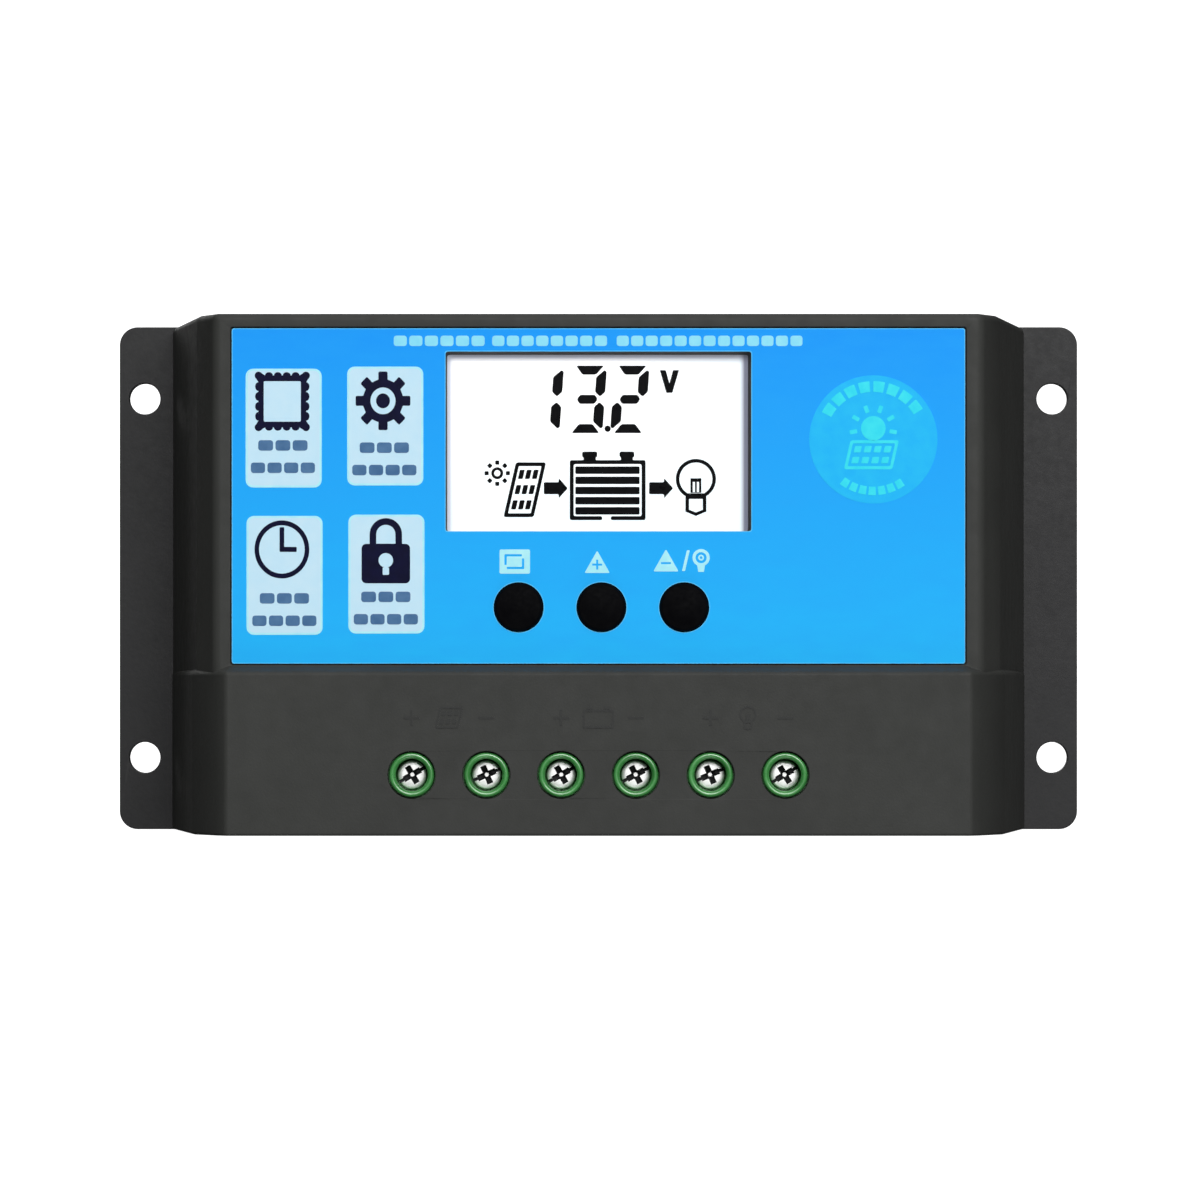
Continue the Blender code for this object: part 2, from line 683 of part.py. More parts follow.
def small_parts(materials):
    """The rest of the board's parts: controller chip, regulator, clock crystal, shunt and clamp diode."""
    gull_wing_chip("controller_chip", -34 * MM, 14 * MM, 6.4 * MM, 3.75 * MM, 2.5 * MM, 10, materials["black"])
    gull_wing_chip("regulator_chip", -34 * MM, -4 * MM, 3.0 * MM, 1.9 * MM, 1.7 * MM, 4, materials["black"])

    crystal = box(
        "clock_crystal",
        (-39 * MM, ON_BOARD_Y - 3.4 * MM, 3.2 * MM),
        (-29 * MM, ON_BOARD_Y - 0.1 * MM, 6.8 * MM),
    )
    part(bevel(crystal, 1.0 * MM, 2), materials["plated"])

    diode = rod("clamp_diode", 2.6 * MM, 0, 0, -4.6 * MM, 4.6 * MM, SMALL_ROUND_STEPS)
    diode.rotation_euler = (0, math.radians(90), 0)
    diode.location = (-33 * MM, ON_BOARD_Y - 3 * MM, -13 * MM)
    part(bevel(diode, 0.3 * MM, 1), materials["black"])

    shunt = bent_wire("shunt_wire", 0.75 * MM, 7 * MM, 6 * MM, (34 * MM, ON_BOARD_Y, -14 * MM))
    part(shunt, materials["copper"])


def bent_wire(name, radius, half_span, rise, location):
    """A thick wire that stands up from the board, bends over and comes down again."""
    corner = 2.0 * MM
    points = [(-half_span, 0)]
    for centre_x, start in ((-half_span + corner, 180), (half_span - corner, 90)):
        for step in range(4):
            angle = math.radians(start - 30 * step)
            points.append((centre_x + corner * math.cos(angle), rise - corner + corner * math.sin(angle)))
    points.append((half_span, 0))
    curve = bpy.data.curves.new(name, "CURVE")
    curve.dimensions = "3D"
    curve.bevel_depth = radius
    curve.bevel_resolution = 2
    curve.use_fill_caps = True
    spline = curve.splines.new("POLY")
    spline.points.add(len(points) - 1)
    for point, (x, height) in zip(spline.points, points):
        point.co = (x, -height, 0, 1)
    return as_mesh(name, new_object(name + "_curve", curve, location))


# ---- Display ------------------------------------------------------------------------------------------------

GLASS_HALF_WIDTH = 22.0 * MM
GLASS_BOTTOM_Z = 4.4 * MM
GLASS_TOP_Z = 31.3 * MM
LEDGE_BOTTOM_Z = 2.4 * MM
HOLDER_WALL = 1.2 * MM


def slab(name, half_width, bottom_z, top_z, front_y, thickness, material):
    low, high = (-half_width, front_y, bottom_z), (half_width, front_y + thickness, top_z)
    return part(box(name, low, high), material)


def display(materials):
    """From the front: polariser, two glasses, backlight panel with a lamp at each end, holder and pins."""
    front_y = SHELL_INSIDE_Y + GAP
    slab("lcd_polariser", 21.4 * MM, 5.0 * MM, 30.7 * MM, front_y, 0.2 * MM, materials["film"])
    front_y += 0.25 * MM
    slab("lcd_front_glass", GLASS_HALF_WIDTH, GLASS_BOTTOM_Z, GLASS_TOP_Z, front_y, 1.1 * MM, materials["glass"])
    front_y += 1.15 * MM
    slab("lcd_rear_glass", GLASS_HALF_WIDTH, LEDGE_BOTTOM_Z, GLASS_TOP_Z, front_y, 1.1 * MM, materials["glass"])
    rear_y = front_y + 1.1 * MM
    panel_y = rear_y + GAP
    slab("backlight_panel", 20.0 * MM, 5.0 * MM, GLASS_TOP_Z, panel_y, 3.0 * MM, materials["light"])
    for side, name in ((-1, "left"), (1, "right")):
        inner, outer = side * 20.1 * MM, side * 21.8 * MM
        low = (min(inner, outer), panel_y + 0.4 * MM, 12 * MM)
        high = (max(inner, outer), panel_y + 2.6 * MM, 23 * MM)
        part(box(f"backlight_lamp_{name}", low, high), materials["light"])

    display_holder(materials["holder"])
    pin_row(rear_y + GAP, materials["plated"])


def display_holder(material):
    """A frame round the glass, on four legs that stand on the board."""
    inner_half = GLASS_HALF_WIDTH + 0.2 * MM
    inner_bottom, inner_top = LEDGE_BOTTOM_Z - 0.2 * MM, GLASS_TOP_Z + 0.2 * MM
    outer_half = inner_half + HOLDER_WALL
    front_y, back_y = SHELL_INSIDE_Y + GAP, -24.4 * MM
    holder = box(
        "display_holder",
        (-outer_half, front_y, inner_bottom - HOLDER_WALL),
        (outer_half, back_y, inner_top + HOLDER_WALL),
    )
    cut(
        holder,
        box(
            "holder_opening",
            (-inner_half, front_y - 1 * MM, inner_bottom),
            (inner_half, back_y + 1 * MM, inner_top),
        ),
    )
    legs = []
    for side in (-1, 1):
        for z in (inner_bottom - HOLDER_WALL, inner_top - 2.0 * MM):
            inner, outer = side * (inner_half + 0.1 * MM), side * (outer_half - 0.1 * MM)
            low = (min(inner, outer), back_y - 2 * MM, z + 0.1 * MM)
            high = (max(inner, outer), ON_BOARD_Y, z + 1.9 * MM)
            legs.append(box("holder_leg", low, high))
    join(holder, *legs)
    return part(holder, material)


def pin_row(front_y, material):
    """The display's connecting pins, held in line by a carrier strip on the board."""
    pin_count, pitch = 14, 2.54 * MM
    z = 3.3 * MM
    strip_half = pin_count * pitch / 2
    strip = box(
        "display_pin_row",
        (-strip_half, ON_BOARD_Y - 2.4 * MM, z - 1.1 * MM),
        (strip_half, ON_BOARD_Y - 0.3 * MM, z + 1.1 * MM),
    )
    pins = []
    for pin in range(pin_count):
        x = (pin - (pin_count - 1) / 2) * pitch
        half = 0.3 * MM
        pins.append(box("pin", (x - half, front_y, z - half), (x + half, ON_BOARD_Y, z + half)))
    join(strip, *pins)
    return part(strip, material)


# ---- Terminal block -----------------------------------------------------------------------------------------

SCREW_HEAD_Y = -32.2 * MM
SHELF_FRONT_Y = -30.5 * MM
BAR_FRONT_Y = -21.5 * MM
BAR_BACK_Y = BAR_FRONT_Y + 0.8 * MM
CAGE_BACK_Y = -15.4 * MM
CAGE_JAW = 1.0 * MM
CAGE_NUT = 1.2 * MM
CAGE_FRONT_Y = CAVITY_FRONT_Y + CLAMP_TRAVEL + 0.2 * MM
CAGE_HALF_WIDTH = 4.0 * MM
CAGE_HALF_HEIGHT = 3.5 * MM


def terminal_housing(material):
    """The insulating body: a collar and a well over each screw, and a cavity with a cable entry for each cage."""
    housing = box(
        "terminal_housing",
        (-HOUSING_HALF_WIDTH, HOUSING_FRONT_Y, HOUSING_BOTTOM_Z),
        (HOUSING_HALF_WIDTH, ON_BOARD_Y, HOUSING_TOP_Z),
    )
    collars = []
    for x in WAY_XS:
        collars.append(rod("collar", COLLAR_RADIUS, x, SCREW_Z, COLLAR_FRONT_Y, HOUSING_FRONT_Y + 1 * MM, 20))
    join(housing, *collars)

    hollows = []
    for x in WAY_XS:
        hollows.append(rod("well", WELL_RADIUS, x, SCREW_Z, COLLAR_FRONT_Y - 1 * MM, SHELF_FRONT_Y, 20))
        hollows.append(rod("shank_hole", 1.9 * MM, x, SCREW_Z, SHELF_FRONT_Y - 1 * MM, CAVITY_FRONT_Y + 1 * MM, 16))
        hollows.append(
            box(
                "cavity",
                (x - CAVITY_HALF_WIDTH, CAVITY_FRONT_Y, CAVITY_BOTTOM_Z),
                (x + CAVITY_HALF_WIDTH, CAVITY_BACK_Y, CAVITY_TOP_Z),
            )
        )
        hollows.append(
            box(
                "cable_entry",
                (x - 3.3 * MM, -22.0 * MM, HOUSING_BOTTOM_Z - 1 * MM),
                (x + 3.3 * MM, -15.8 * MM, CAVITY_BOTTOM_Z + 1 * MM),
            )
        )
        half = BAR_LEG_HALF_WIDTH + 0.2 * MM
        hollows.append(
            box(
                "bar_leg_hole",
                (x - half, CAVITY_BACK_Y - 1 * MM, BAR_LEG_LOW_Z - 0.2 * MM),
                (x + half, ON_BOARD_Y + 1 * MM, BAR_LEG_HIGH_Z + 0.2 * MM),
            )
        )
    cut(housing, *hollows)
    return part(housing, material)


def terminal_screws(material):
    """Captive clamp screws whose heads take either a flat or a cross driver."""
    profile = [(0, 0), (1.6, 0), (1.95, -0.3), (1.95, -1.6), (1.65, -1.6), (1.65, -9.6), (1.2, -10.1), (0, -10.1)]
    slot_twist = math.radians(12)
    for number, x in enumerate(WAY_XS, 1):
        axis = pivot(f"terminal_screw_{number}_pivot", (x, SCREW_HEAD_Y, SCREW_Z))
        screw = turned(f"terminal_screw_{number}", profile, (x, SCREW_HEAD_Y, SCREW_Z), steps=20)
        slot = box("driver_slot", (-2.5 * MM, -0.3 * MM, -0.6 * MM), (2.5 * MM, 0.3 * MM, 1 * MM))
        recess = cross_recess("driver_cross", 1.15 * MM, 0.38 * MM, 1.0 * MM)
        cut(screw, *stand_on([slot, *recess], screw, twist=slot_twist))
        part(screw, material, axis)


def clamp_cages(material):
    """Each cage is a square loop round the cable. Its front wall is the nut, and its back wall the jaw."""
    for number, x in enumerate(WAY_XS, 1):
        axis = pivot(f"clamp_cage_{number}_pivot", (x, CAGE_FRONT_Y, SCREW_Z))
        cage = box(
            f"clamp_cage_{number}",
            (x - CAGE_HALF_WIDTH, CAGE_FRONT_Y, SCREW_Z - CAGE_HALF_HEIGHT),
            (x + CAGE_HALF_WIDTH, CAGE_BACK_Y, SCREW_Z + CAGE_HALF_HEIGHT),
        )
        wall_x, nut_y, jaw_y = CAGE_HALF_WIDTH - 0.9 * MM, CAGE_FRONT_Y + CAGE_NUT, CAGE_BACK_Y - CAGE_JAW
        beyond = CAGE_HALF_HEIGHT + 1 * MM
        cut(
            cage,
            box("cage_opening", (x - wall_x, nut_y, SCREW_Z - beyond), (x + wall_x, jaw_y, SCREW_Z + beyond)),
            rod("cage_thread", 1.75 * MM, x, SCREW_Z, CAGE_FRONT_Y - 1 * MM, nut_y + 1 * MM, SMALL_ROUND_STEPS),
        )
        part(cage, material, axis)


def contact_bars(material):
    """Each bar lies inside its cage, between the screw's tip and the cable, with a leg soldered to the board."""
    for number, x in enumerate(WAY_XS, 1):
        low, high = (x - 2.5 * MM, BAR_FRONT_Y, -31.6 * MM), (x + 2.5 * MM, BAR_BACK_Y, BAR_LEG_HIGH_Z)
        bar = box(f"contact_bar_{number}", low, high)
        half = BAR_LEG_HALF_WIDTH
        leg = box(
            "bar_leg",
            (x - half, (BAR_FRONT_Y + BAR_BACK_Y) / 2, BAR_LEG_LOW_Z),
            (x + half, BOARD_BACK_Y + 0.8 * MM, BAR_LEG_HIGH_Z - 0.05 * MM),
        )
        join(bar, leg)
        part(bar, material)


# ---- Assembly -----------------------------------------------------------------------------------------------

clear_scene()
PARTS = new_collection("charge_controller")
HELPERS = new_collection("helpers", is_helper=True)


def build():
    materials = make_materials()
    back_plate(materials["plate"])
    plate_screws(materials["screw"])
    front_shell(materials["case"])
    faceplate_label(materials["label"])
    buttons(materials["button"], materials["switch"], materials["switch"])
    display(materials)
    main_board(materials["board"])
    board_screws(materials["plated"])
    mosfets(materials["black"])
    thermal_pad(materials["pad"])
    capacitors(materials["sleeve"])
    small_parts(materials)
    terminal_housing(materials["block"])
    terminal_screws(materials["plated"])
    clamp_cages(materials["brass"])
    contact_bars(materials["copper"])


build()
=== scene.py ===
"""The looks of the wall-mounted solar charge controller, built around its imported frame.

Frame: +X to the right as the front is faced, +Y into the wall, +Z up, in metres, from the centre of the
back plate's rear face. So everything towards the viewer has a negative Y.
"""

import math
from contextlib import contextmanager

import bmesh
import bpy
from mathutils import Euler, Matrix, Vector


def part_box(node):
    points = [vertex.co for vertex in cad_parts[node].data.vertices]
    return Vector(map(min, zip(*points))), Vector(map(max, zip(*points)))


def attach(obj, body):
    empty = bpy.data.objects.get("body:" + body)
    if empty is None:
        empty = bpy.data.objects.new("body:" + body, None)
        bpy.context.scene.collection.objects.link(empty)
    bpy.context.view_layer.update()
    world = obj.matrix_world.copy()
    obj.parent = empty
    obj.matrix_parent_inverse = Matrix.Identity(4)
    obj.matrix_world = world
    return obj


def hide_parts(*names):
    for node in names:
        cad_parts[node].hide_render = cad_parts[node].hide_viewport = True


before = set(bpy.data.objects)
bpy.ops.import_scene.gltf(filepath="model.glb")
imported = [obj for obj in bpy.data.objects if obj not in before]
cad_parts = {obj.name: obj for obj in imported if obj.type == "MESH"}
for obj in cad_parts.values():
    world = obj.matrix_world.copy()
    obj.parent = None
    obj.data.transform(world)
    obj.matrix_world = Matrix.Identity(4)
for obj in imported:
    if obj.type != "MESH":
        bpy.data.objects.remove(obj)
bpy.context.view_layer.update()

MM = 0.001
HOUSING = "controller_housing"
FACING_FRONT = (math.radians(90), 0, 0)
FACING_BACK = (math.radians(-90), 0, 0)

# ---- Sizes, in mm, that the frame's boxes don't give ----
# Outlines run from the base to the face as (x, y). The window is its left, bottom, right and top, and its
# draft is how far each of them moves through the wall. Tiles and emblem are centres, INK is one layer's
# thickness, and the button hole is a radius in the label.

WALL = 2.0
SHELL_EDGE = 0.9
UPPER_OUTLINE = ((59.3, -2.1), (54.15, -28.4), (51.5, -33.2))
LOWER_OUTLINE = ((59.4, -2.1), (54.8, -28.2), (51.3, -33.7), (49.9, -35.0))
UPPER_FACE_Y = -33.2
LOWER_FACE_Y = -35.0
STEP_Z = -12.2
STEP_CHAMFER = 0.95
RECESS = 0.5
WINDOW = (-20.5, 5.8, 20.5, 29.9)
WINDOW_DRAFT = (0.2, 0.02, -0.42, -0.38)
INK = 0.03
BUTTON_HOLE = 3.36
TILES = ((-42.2, 19.62), (-28.58, 19.9), (-42.08, -0.12), (-28.42, 0.05))
EMBLEM = (36.85, 18.1)
BUTTONS = ("menu", "up", "down")
WAYS = range(1, 7)


def low(node):
    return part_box(node)[0] / MM


def high(node):
    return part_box(node)[1] / MM


def middle(node):
    return (low(node) + high(node)) / 2


def sides_of(node):
    """A node's left, bottom, right and top."""
    return low(node).x, low(node).z, high(node).x, high(node).z


# ---- Mesh helpers: lengths are in mm ----


def add(name, data, location=(0, 0, 0), rotation=(0, 0, 0)):
    obj = bpy.data.objects.new(name, data)
    bpy.context.scene.collection.objects.link(obj)
    obj.location = Vector(location) * MM
    obj.rotation_euler = rotation
    return obj


@contextmanager
def editing(obj):
    """An object's mesh as a bmesh."""
    shape = bmesh.new()
    shape.from_mesh(obj.data)
    yield shape
    shape.to_mesh(obj.data)
    shape.free()


def to_object(name, shape):
    """Makes an object of a bmesh whose coordinates are in mm."""
    bmesh.ops.scale(shape, vec=(MM, MM, MM), verts=shape.verts)
    bmesh.ops.recalc_face_normals(shape, faces=shape.faces)
    mesh = bpy.data.meshes.new(name)
    shape.to_mesh(mesh)
    shape.free()
    return add(name, mesh)


def settle(obj):
    """Applies an object's modifiers, and turns a curve into a mesh, keeping its place."""
    bpy.context.view_layer.update()
    evaluated = obj.evaluated_get(bpy.context.evaluated_depsgraph_get())
    mesh = bpy.data.meshes.new_from_object(evaluated)
    name, matrix = obj.name, obj.matrix_world.copy()
    bpy.data.objects.remove(obj)
    mesh.name = name
    settled = add(name, mesh)
    settled.matrix_world = matrix
    return settled


def modify(obj, kind, **settings):
    """Adds a modifier and applies it."""
    modifier = obj.modifiers.new(kind.lower(), kind)
    for key, value in settings.items():
        setattr(modifier, key, value)
    return settle(obj)


def box(name, corner_a, corner_b):
    shape = bmesh.new()
    bmesh.ops.create_cube(shape, size=1.0)
    size = Vector(corner_b) - Vector(corner_a)
    bmesh.ops.scale(shape, vec=[abs(side) for side in size], verts=shape.verts)
    bmesh.ops.translate(shape, vec=(Vector(corner_a) + Vector(corner_b)) / 2, verts=shape.verts)
    return to_object(name, shape)


def loft(name, sections):
    """A closed solid through several (outline, y) with equal numbers of points."""
    shape = bmesh.new()
    rings = [[shape.verts.new((x, y, z)) for x, z in outline] for outline, y in sections]
    for ring_a, ring_b in zip(rings, rings[1:]):
        for n in range(len(ring_a)):
            shape.faces.new((ring_a[n - 1], ring_a[n], ring_b[n], ring_b[n - 1]))
    shape.faces.new(rings[0])
    shape.faces.new(rings[-1])
    return to_object(name, shape)


def bore(name, outline, front_y, back_y):
    """A straight solid between two depths."""
    return loft(name, [(outline, front_y), (outline, back_y)])


def stand_up(obj):
    """Stands a loft up along Z: its outlines were in x and y, and its depths are heights."""
    for vertex in obj.data.vertices:
        x, y, z = vertex.co
        vertex.co = (x, z, y)
    obj.data.flip_normals()
    return obj


def prism_up(name, plan, low_z, high_z):
    """A closed plan outline of (x, y) points, standing between two heights."""
    return stand_up(bore(name, plan, low_z, high_z))


def turned(name, profile, location, rotation=FACING_FRONT, steps=64):
    """A turned solid from (radius, height) points, from the top centre down."""
    points = [(radius * MM, 0, height * MM) for radius, height in profile]
    mesh = bpy.data.meshes.new(name)
    mesh.from_pydata(points, [(n, n + 1) for n in range(len(points) - 1)], [])
    weld = {"use_merge_vertices": True, "merge_threshold": 0.000001}
    return modify(add(name, mesh, location, rotation), "SCREW", steps=steps, render_steps=steps, **weld)


def sheet(name, outlines, front_y, thickness, rounding=0.0):
    """Flat shapes that face the viewer. An outline inside another one is a hole in it."""
    curve = bpy.data.curves.new(name, "CURVE")
    curve.dimensions = "2D"
    curve.fill_mode = "BOTH"
    curve.extrude = (thickness / 2 - rounding) * MM
    curve.bevel_depth = rounding * MM
    curve.offset = -rounding * MM
    curve.bevel_resolution = 2
    for outline in outlines:
        spline = curve.splines.new("POLY")
        spline.points.add(len(outline) - 1)
        spline.use_cyclic_u = True
        for point, (x, z) in zip(spline.points, outline):
            point.co = (x * MM, z * MM, 0, 1)
    made = settle(add(name, curve, (0, front_y + thickness / 2, 0), FACING_FRONT))
    with editing(made) as shape:
        bmesh.ops.remove_doubles(shape, verts=shape.verts, dist=0.0000005)
        bmesh.ops.recalc_face_normals(shape, faces=shape.faces)
    return made


def sheet_for(node, name, outlines, rounding):
    """A sheet at a node's depth, and as thick."""
    return sheet(name, outlines, low(node).y, high(node).y - low(node).y, rounding)


def combine(obj, operation, others):
    """One Boolean with all the others, which it uses up."""
    group = bpy.data.collections.new(operation)
    for other in others:
        group.objects.link(other)
    source = {"operand_type": "COLLECTION", "collection": group}
    made = modify(obj, "BOOLEAN", operation=operation, solver="EXACT", material_mode="TRANSFER", **source)
    for other in others:
        bpy.data.objects.remove(other)
    bpy.data.collections.remove(group)
    return made


def cut(obj, others):
    return combine(obj, "DIFFERENCE", others)


def join(obj, others):
    return combine(obj, "UNION", others)


def round_edges(obj, width, segments=3, over_degrees=38):
    """Bevels the edges that turn by more than an angle."""
    limit = {"limit_method": "ANGLE", "angle_limit": math.radians(over_degrees)}
    shape = {"segments": segments, "use_clamp_overlap": False, "miter_outer": "MITER_ARC"}
    return modify(obj, "BEVEL", width=width * MM, **limit, **shape)


def split_faces(obj):
    """Cuts many-cornered faces into triangles, so that a bevel can't fold them over an opening."""
    with editing(obj) as shape:
        bmesh.ops.triangulate(shape, faces=[face for face in shape.faces if len(face.verts) > 4])
    return obj


def even_shading(obj):
    """Smooth over round faces, and flat on flat ones."""
    obj.data.shade_smooth()
    obj.data.set_sharp_from_angle(angle=math.radians(32))
    return modify(obj, "WEIGHTED_NORMAL", keep_sharp=True)


def piece(obj, surface, node=None, body=HOUSING):
    """Finishes a visible piece: its material, slot, body and the CAD node it stands for."""
    bpy.context.view_layer.update()
    obj.data.transform(obj.matrix_world)
    obj.matrix_world = Matrix.Identity(4)
    obj = even_shading(obj)
    materials = obj.data.materials
    if not materials:
        materials.append(None)
    for index, material in enumerate(materials):
        if material is None:
            materials[index] = SURFACES[surface]
    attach(obj, body)
    if node:
        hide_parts(node)


# ---- Outlines, in mm ----


def arc(centre_x, centre_z, radius, start, end, points):
    """Points along an arc from start to end, in degrees anticlockwise from +X."""
    step = math.radians(end - start) / (points - 1)
    angles = [math.radians(start) + n * step for n in range(points)]
    return [(centre_x + radius * math.cos(a), centre_z + radius * math.sin(a)) for a in angles]


def circle(centre_x, centre_z, radius, points=48):
    return arc(centre_x, centre_z, radius, 0, 360 - 360 / points, points)


def rounded_box(left, bottom, right, top, radius, points=6):
    outline = []
    corners = ((right, bottom, -90), (right, top, 0), (left, top, 90), (left, bottom, 180))
    for x, z, start in corners:
        centre_x = x - radius if x == right else x + radius
        centre_z = z - radius if z == top else z + radius
        outline += arc(centre_x, centre_z, radius, start, start + 90, points)
    return outline


def round_at(node, radius, points=48):
    """A circle about a node's middle."""
    return circle(middle(node).x, middle(node).z, radius, points)


def grown(sides, by):
    left, bottom, right, top = sides
    return left - by, bottom - by, right + by, top + by


def rectangle(left, bottom, right, top):
    return [(left, bottom), (right, bottom), (right, top), (left, top)]


def softened(outline, radius, points=4):
    """The outline with its corners rounded off, less where a side is short."""
    made = []
    for n in range(len(outline)):
        before, corner, after = (Vector(outline[m % len(outline)]) for m in (n - 1, n, n + 1))
        reach = min(radius, 0.48 * (before - corner).length, 0.48 * (after - corner).length)
        start = corner + (before - corner).normalized() * reach
        end = corner + (after - corner).normalized() * reach
        for step in range(points + 1):
            share = step / points
            made.append(tuple(start.lerp(corner, share).lerp(corner.lerp(end, share), share)))
    return made


def mirrored(outline, x=None, z=None):
    """The outline mirrored in an upright line at x, a level line at z, or both."""
    return [(2 * x - px if x is not None else px, 2 * z - pz if z is not None else pz) for px, pz in outline]


def stretched(outline, centre_z, share):
    """The outline made taller or lower about a level line."""
    return [(px, centre_z + (pz - centre_z) * share) for px, pz in outline]


def moved(outline, x, z):
    return [(px + x, pz + z) for px, pz in outline]


def rotated(outline, degrees):
    """The outline turned anticlockwise about the origin."""
    turn = Matrix.Rotation(math.radians(degrees), 2)
    return [tuple(turn @ Vector(point)) for point in outline]


def sheared(outline, degrees):
    """Leans an outline to the right by an angle about the line z = 0."""
    lean = math.tan(math.radians(degrees))
    return [(x + z * lean, z) for x, z in outline]


def plan_of(outline):
    """The whole plan from its right half, with the sides running on past the back face."""
    (base_x, base_y), (side_x, side_y) = outline[:2]
    past_back = 6.0
    slope = (base_x - side_x) / (base_y - side_y)
    right = [*reversed(outline[1:]), (base_x + slope * past_back, base_y + past_back)]
    return right + [(-x, y) for x, y in reversed(right)]


def inset(outline, distance):
    """The outline moved inwards: each corner is where its two moved sides meet."""
    sides = []
    for n in range(len(outline)):
        start, end = Vector(outline[n]), Vector(outline[(n + 1) % len(outline)])
        along = (end - start).normalized()
        sides.append((start + Vector((-along.y, along.x)) * distance, along))
    corners = []
    for n in range(len(outline)):
        (point_a, along_a), (point_b, along_b) = sides[n - 1], sides[n]
        across = along_a.x * along_b.y - along_a.y * along_b.x
        offset = point_b - point_a
        reach = (offset.x * along_b.y - offset.y * along_b.x) / across
        corners.append(tuple(point_a + along_a * reach))
    return corners


# ---- Materials ----


def linear(red, green, blue):
    """The linear colour of an sRGB one with channels from 0 to 255."""
    values = []
    for channel in (red, green, blue):
        value = channel / 255
        values.append(value / 12.92 if value <= 0.04045 else ((value + 0.055) / 1.055) ** 2.4)
    return tuple(values)


class Surface:
    """A node material that grows step by step around a Principled shader."""

    def __init__(self, name, metallic=0.0, specular=0.5):
        self.material = bpy.data.materials.new(name)
        self.material.use_nodes = True
        self.nodes = self.material.node_tree.nodes
        self.links = self.material.node_tree.links
        self.shader = self.nodes["Principled BSDF"]
        self.set("Metallic", metallic)
        self.set("Specular IOR Level", specular)
        self.place = self.node("TexCoord", {}).outputs["Object"]
        self.relief = None

    def plug(self, socket, value):
        """Gives an input a number, a colour or another node's output."""
        if isinstance(value, bpy.types.NodeSocket):
            self.links.new(value, socket)
        else:
            socket.default_value = (*value, 1.0) if socket.type == "RGBA" else value

    def set(self, name, value):
        self.plug(self.shader.inputs[name], value)

    def node(self, kind, inputs, **settings):
        made = self.nodes.new("ShaderNode" + kind)
        for key, value in settings.items():
            setattr(made, key, value)
        for key, value in inputs.items():
            self.plug(made.inputs[key], value)
        return made

    def noise(self, size_mm, detail, stretch=(1, 1, 1)):
        """Noise whose features are about size_mm across."""
        vector = self.node("Mapping", {"Vector": self.place, "Scale": stretch}).outputs["Vector"]
        texture = self.node("TexNoise", {"Vector": vector, "Scale": 1 / (size_mm * MM), "Detail": detail})
        return texture.outputs["Fac"]

    def spread(self, value, least, most, from_least=0.3, from_most=0.7):
        """Maps a value from its usual range to least .. most."""
        ends = {"From Min": from_least, "From Max": from_most, "To Min": least, "To Max": most}
        return self.node("MapRange", {"Value": value, **ends}).outputs["Result"]

    def blend(self, share, colour_a, colour_b):
        """Mixes two colours: a Mix node's inputs 6 and 7, by its input 0, into its output 2."""
        return self.node("Mix", {0: share, 6: colour_a, 7: colour_b}, data_type="RGBA").outputs[2]

    def mottle(self, size_mm, detail, colour_a, colour_b):
        """Noise between two colours."""
        share = self.spread(self.noise(size_mm, detail), 0, 1)
        self.set("Base Color", self.blend(share, colour_a, colour_b))

    def sheen(self, size_mm, detail, least, most):
        """Noise in the roughness."""
        self.set("Roughness", self.spread(self.noise(size_mm, detail), least, most))

    def grain(self, size_mm, detail, depth_mm, strength):
        """Noise in the relief."""
        self.bump(self.noise(size_mm, detail), depth_mm, strength)

    def bump(self, height, depth_mm, strength):
        """Adds relief of about depth_mm on top of any relief already there."""
        bump = self.node("Bump", {"Height": height, "Distance": depth_mm * MM, "Strength": strength})
        if self.relief is not None:
            self.plug(bump.inputs["Normal"], self.relief)
        self.relief = bump.outputs["Normal"]
        self.set("Normal", self.relief)

    def hide_back_faces(self):
        """Lets a view from behind or below look straight through."""
        facing = self.node("NewGeometry", {}).outputs["Backfacing"]
        clear = self.node("BsdfTransparent", {}).outputs["BSDF"]
        mix = self.node("MixShader", {0: facing, 1: self.shader.outputs["BSDF"], 2: clear})
        self.plug(self.nodes["Material Output"].inputs["Surface"], mix.outputs["Shader"])

    def along(self, axis, start_mm, end_mm):
        """0 to 1 from one coordinate of an axis to another."""
        split = self.node("SeparateXYZ", {"Vector": self.place})
        return self.spread(split.outputs[axis], 0.0, 1.0, start_mm * MM, end_mm * MM)

    def eased(self, value):
        """A slow start to a value that runs from 0 to 1."""
        return self.node("Math", {0: value, 1: 1.8}, operation="POWER").outputs["Value"]


def case_plastic():
    """Black moulded plastic with a fine spark-eroded texture and slightly uneven sheen."""
    made = Surface("case_plastic", specular=0.24)
    made.mottle(9, 3, linear(51, 52, 50), linear(55, 56, 54))
    made.sheen(2.0, 4, 0.56, 0.68)
    made.grain(0.3, 4, 0.03, 0.5)
    made.grain(26, 1, 0.1, 0.2)
    return made.material


def symbol_plastic():
    """The same plastic where a symbol was polished into the mould."""
    made = Surface("symbol_plastic", specular=0.24)
    made.set("Base Color", linear(46, 47, 46))
    made.sheen(0.5, 3, 0.4, 0.52)
    made.grain(0.3, 3, 0.01, 0.4)
    return made.material


def plate_coating():
    """Black powder coat on sheet metal: an orange-peel skin with tiny glints."""
    made = Surface("plate_coating", specular=0.24)
    made.mottle(7, 3, linear(37, 37, 38), linear(41, 41, 42))
    made.sheen(1.2, 4, 0.4, 0.56)
    made.grain(0.55, 3, 0.03, 0.5)
    made.grain(0.16, 2, 0.008, 0.4)
    return made.material


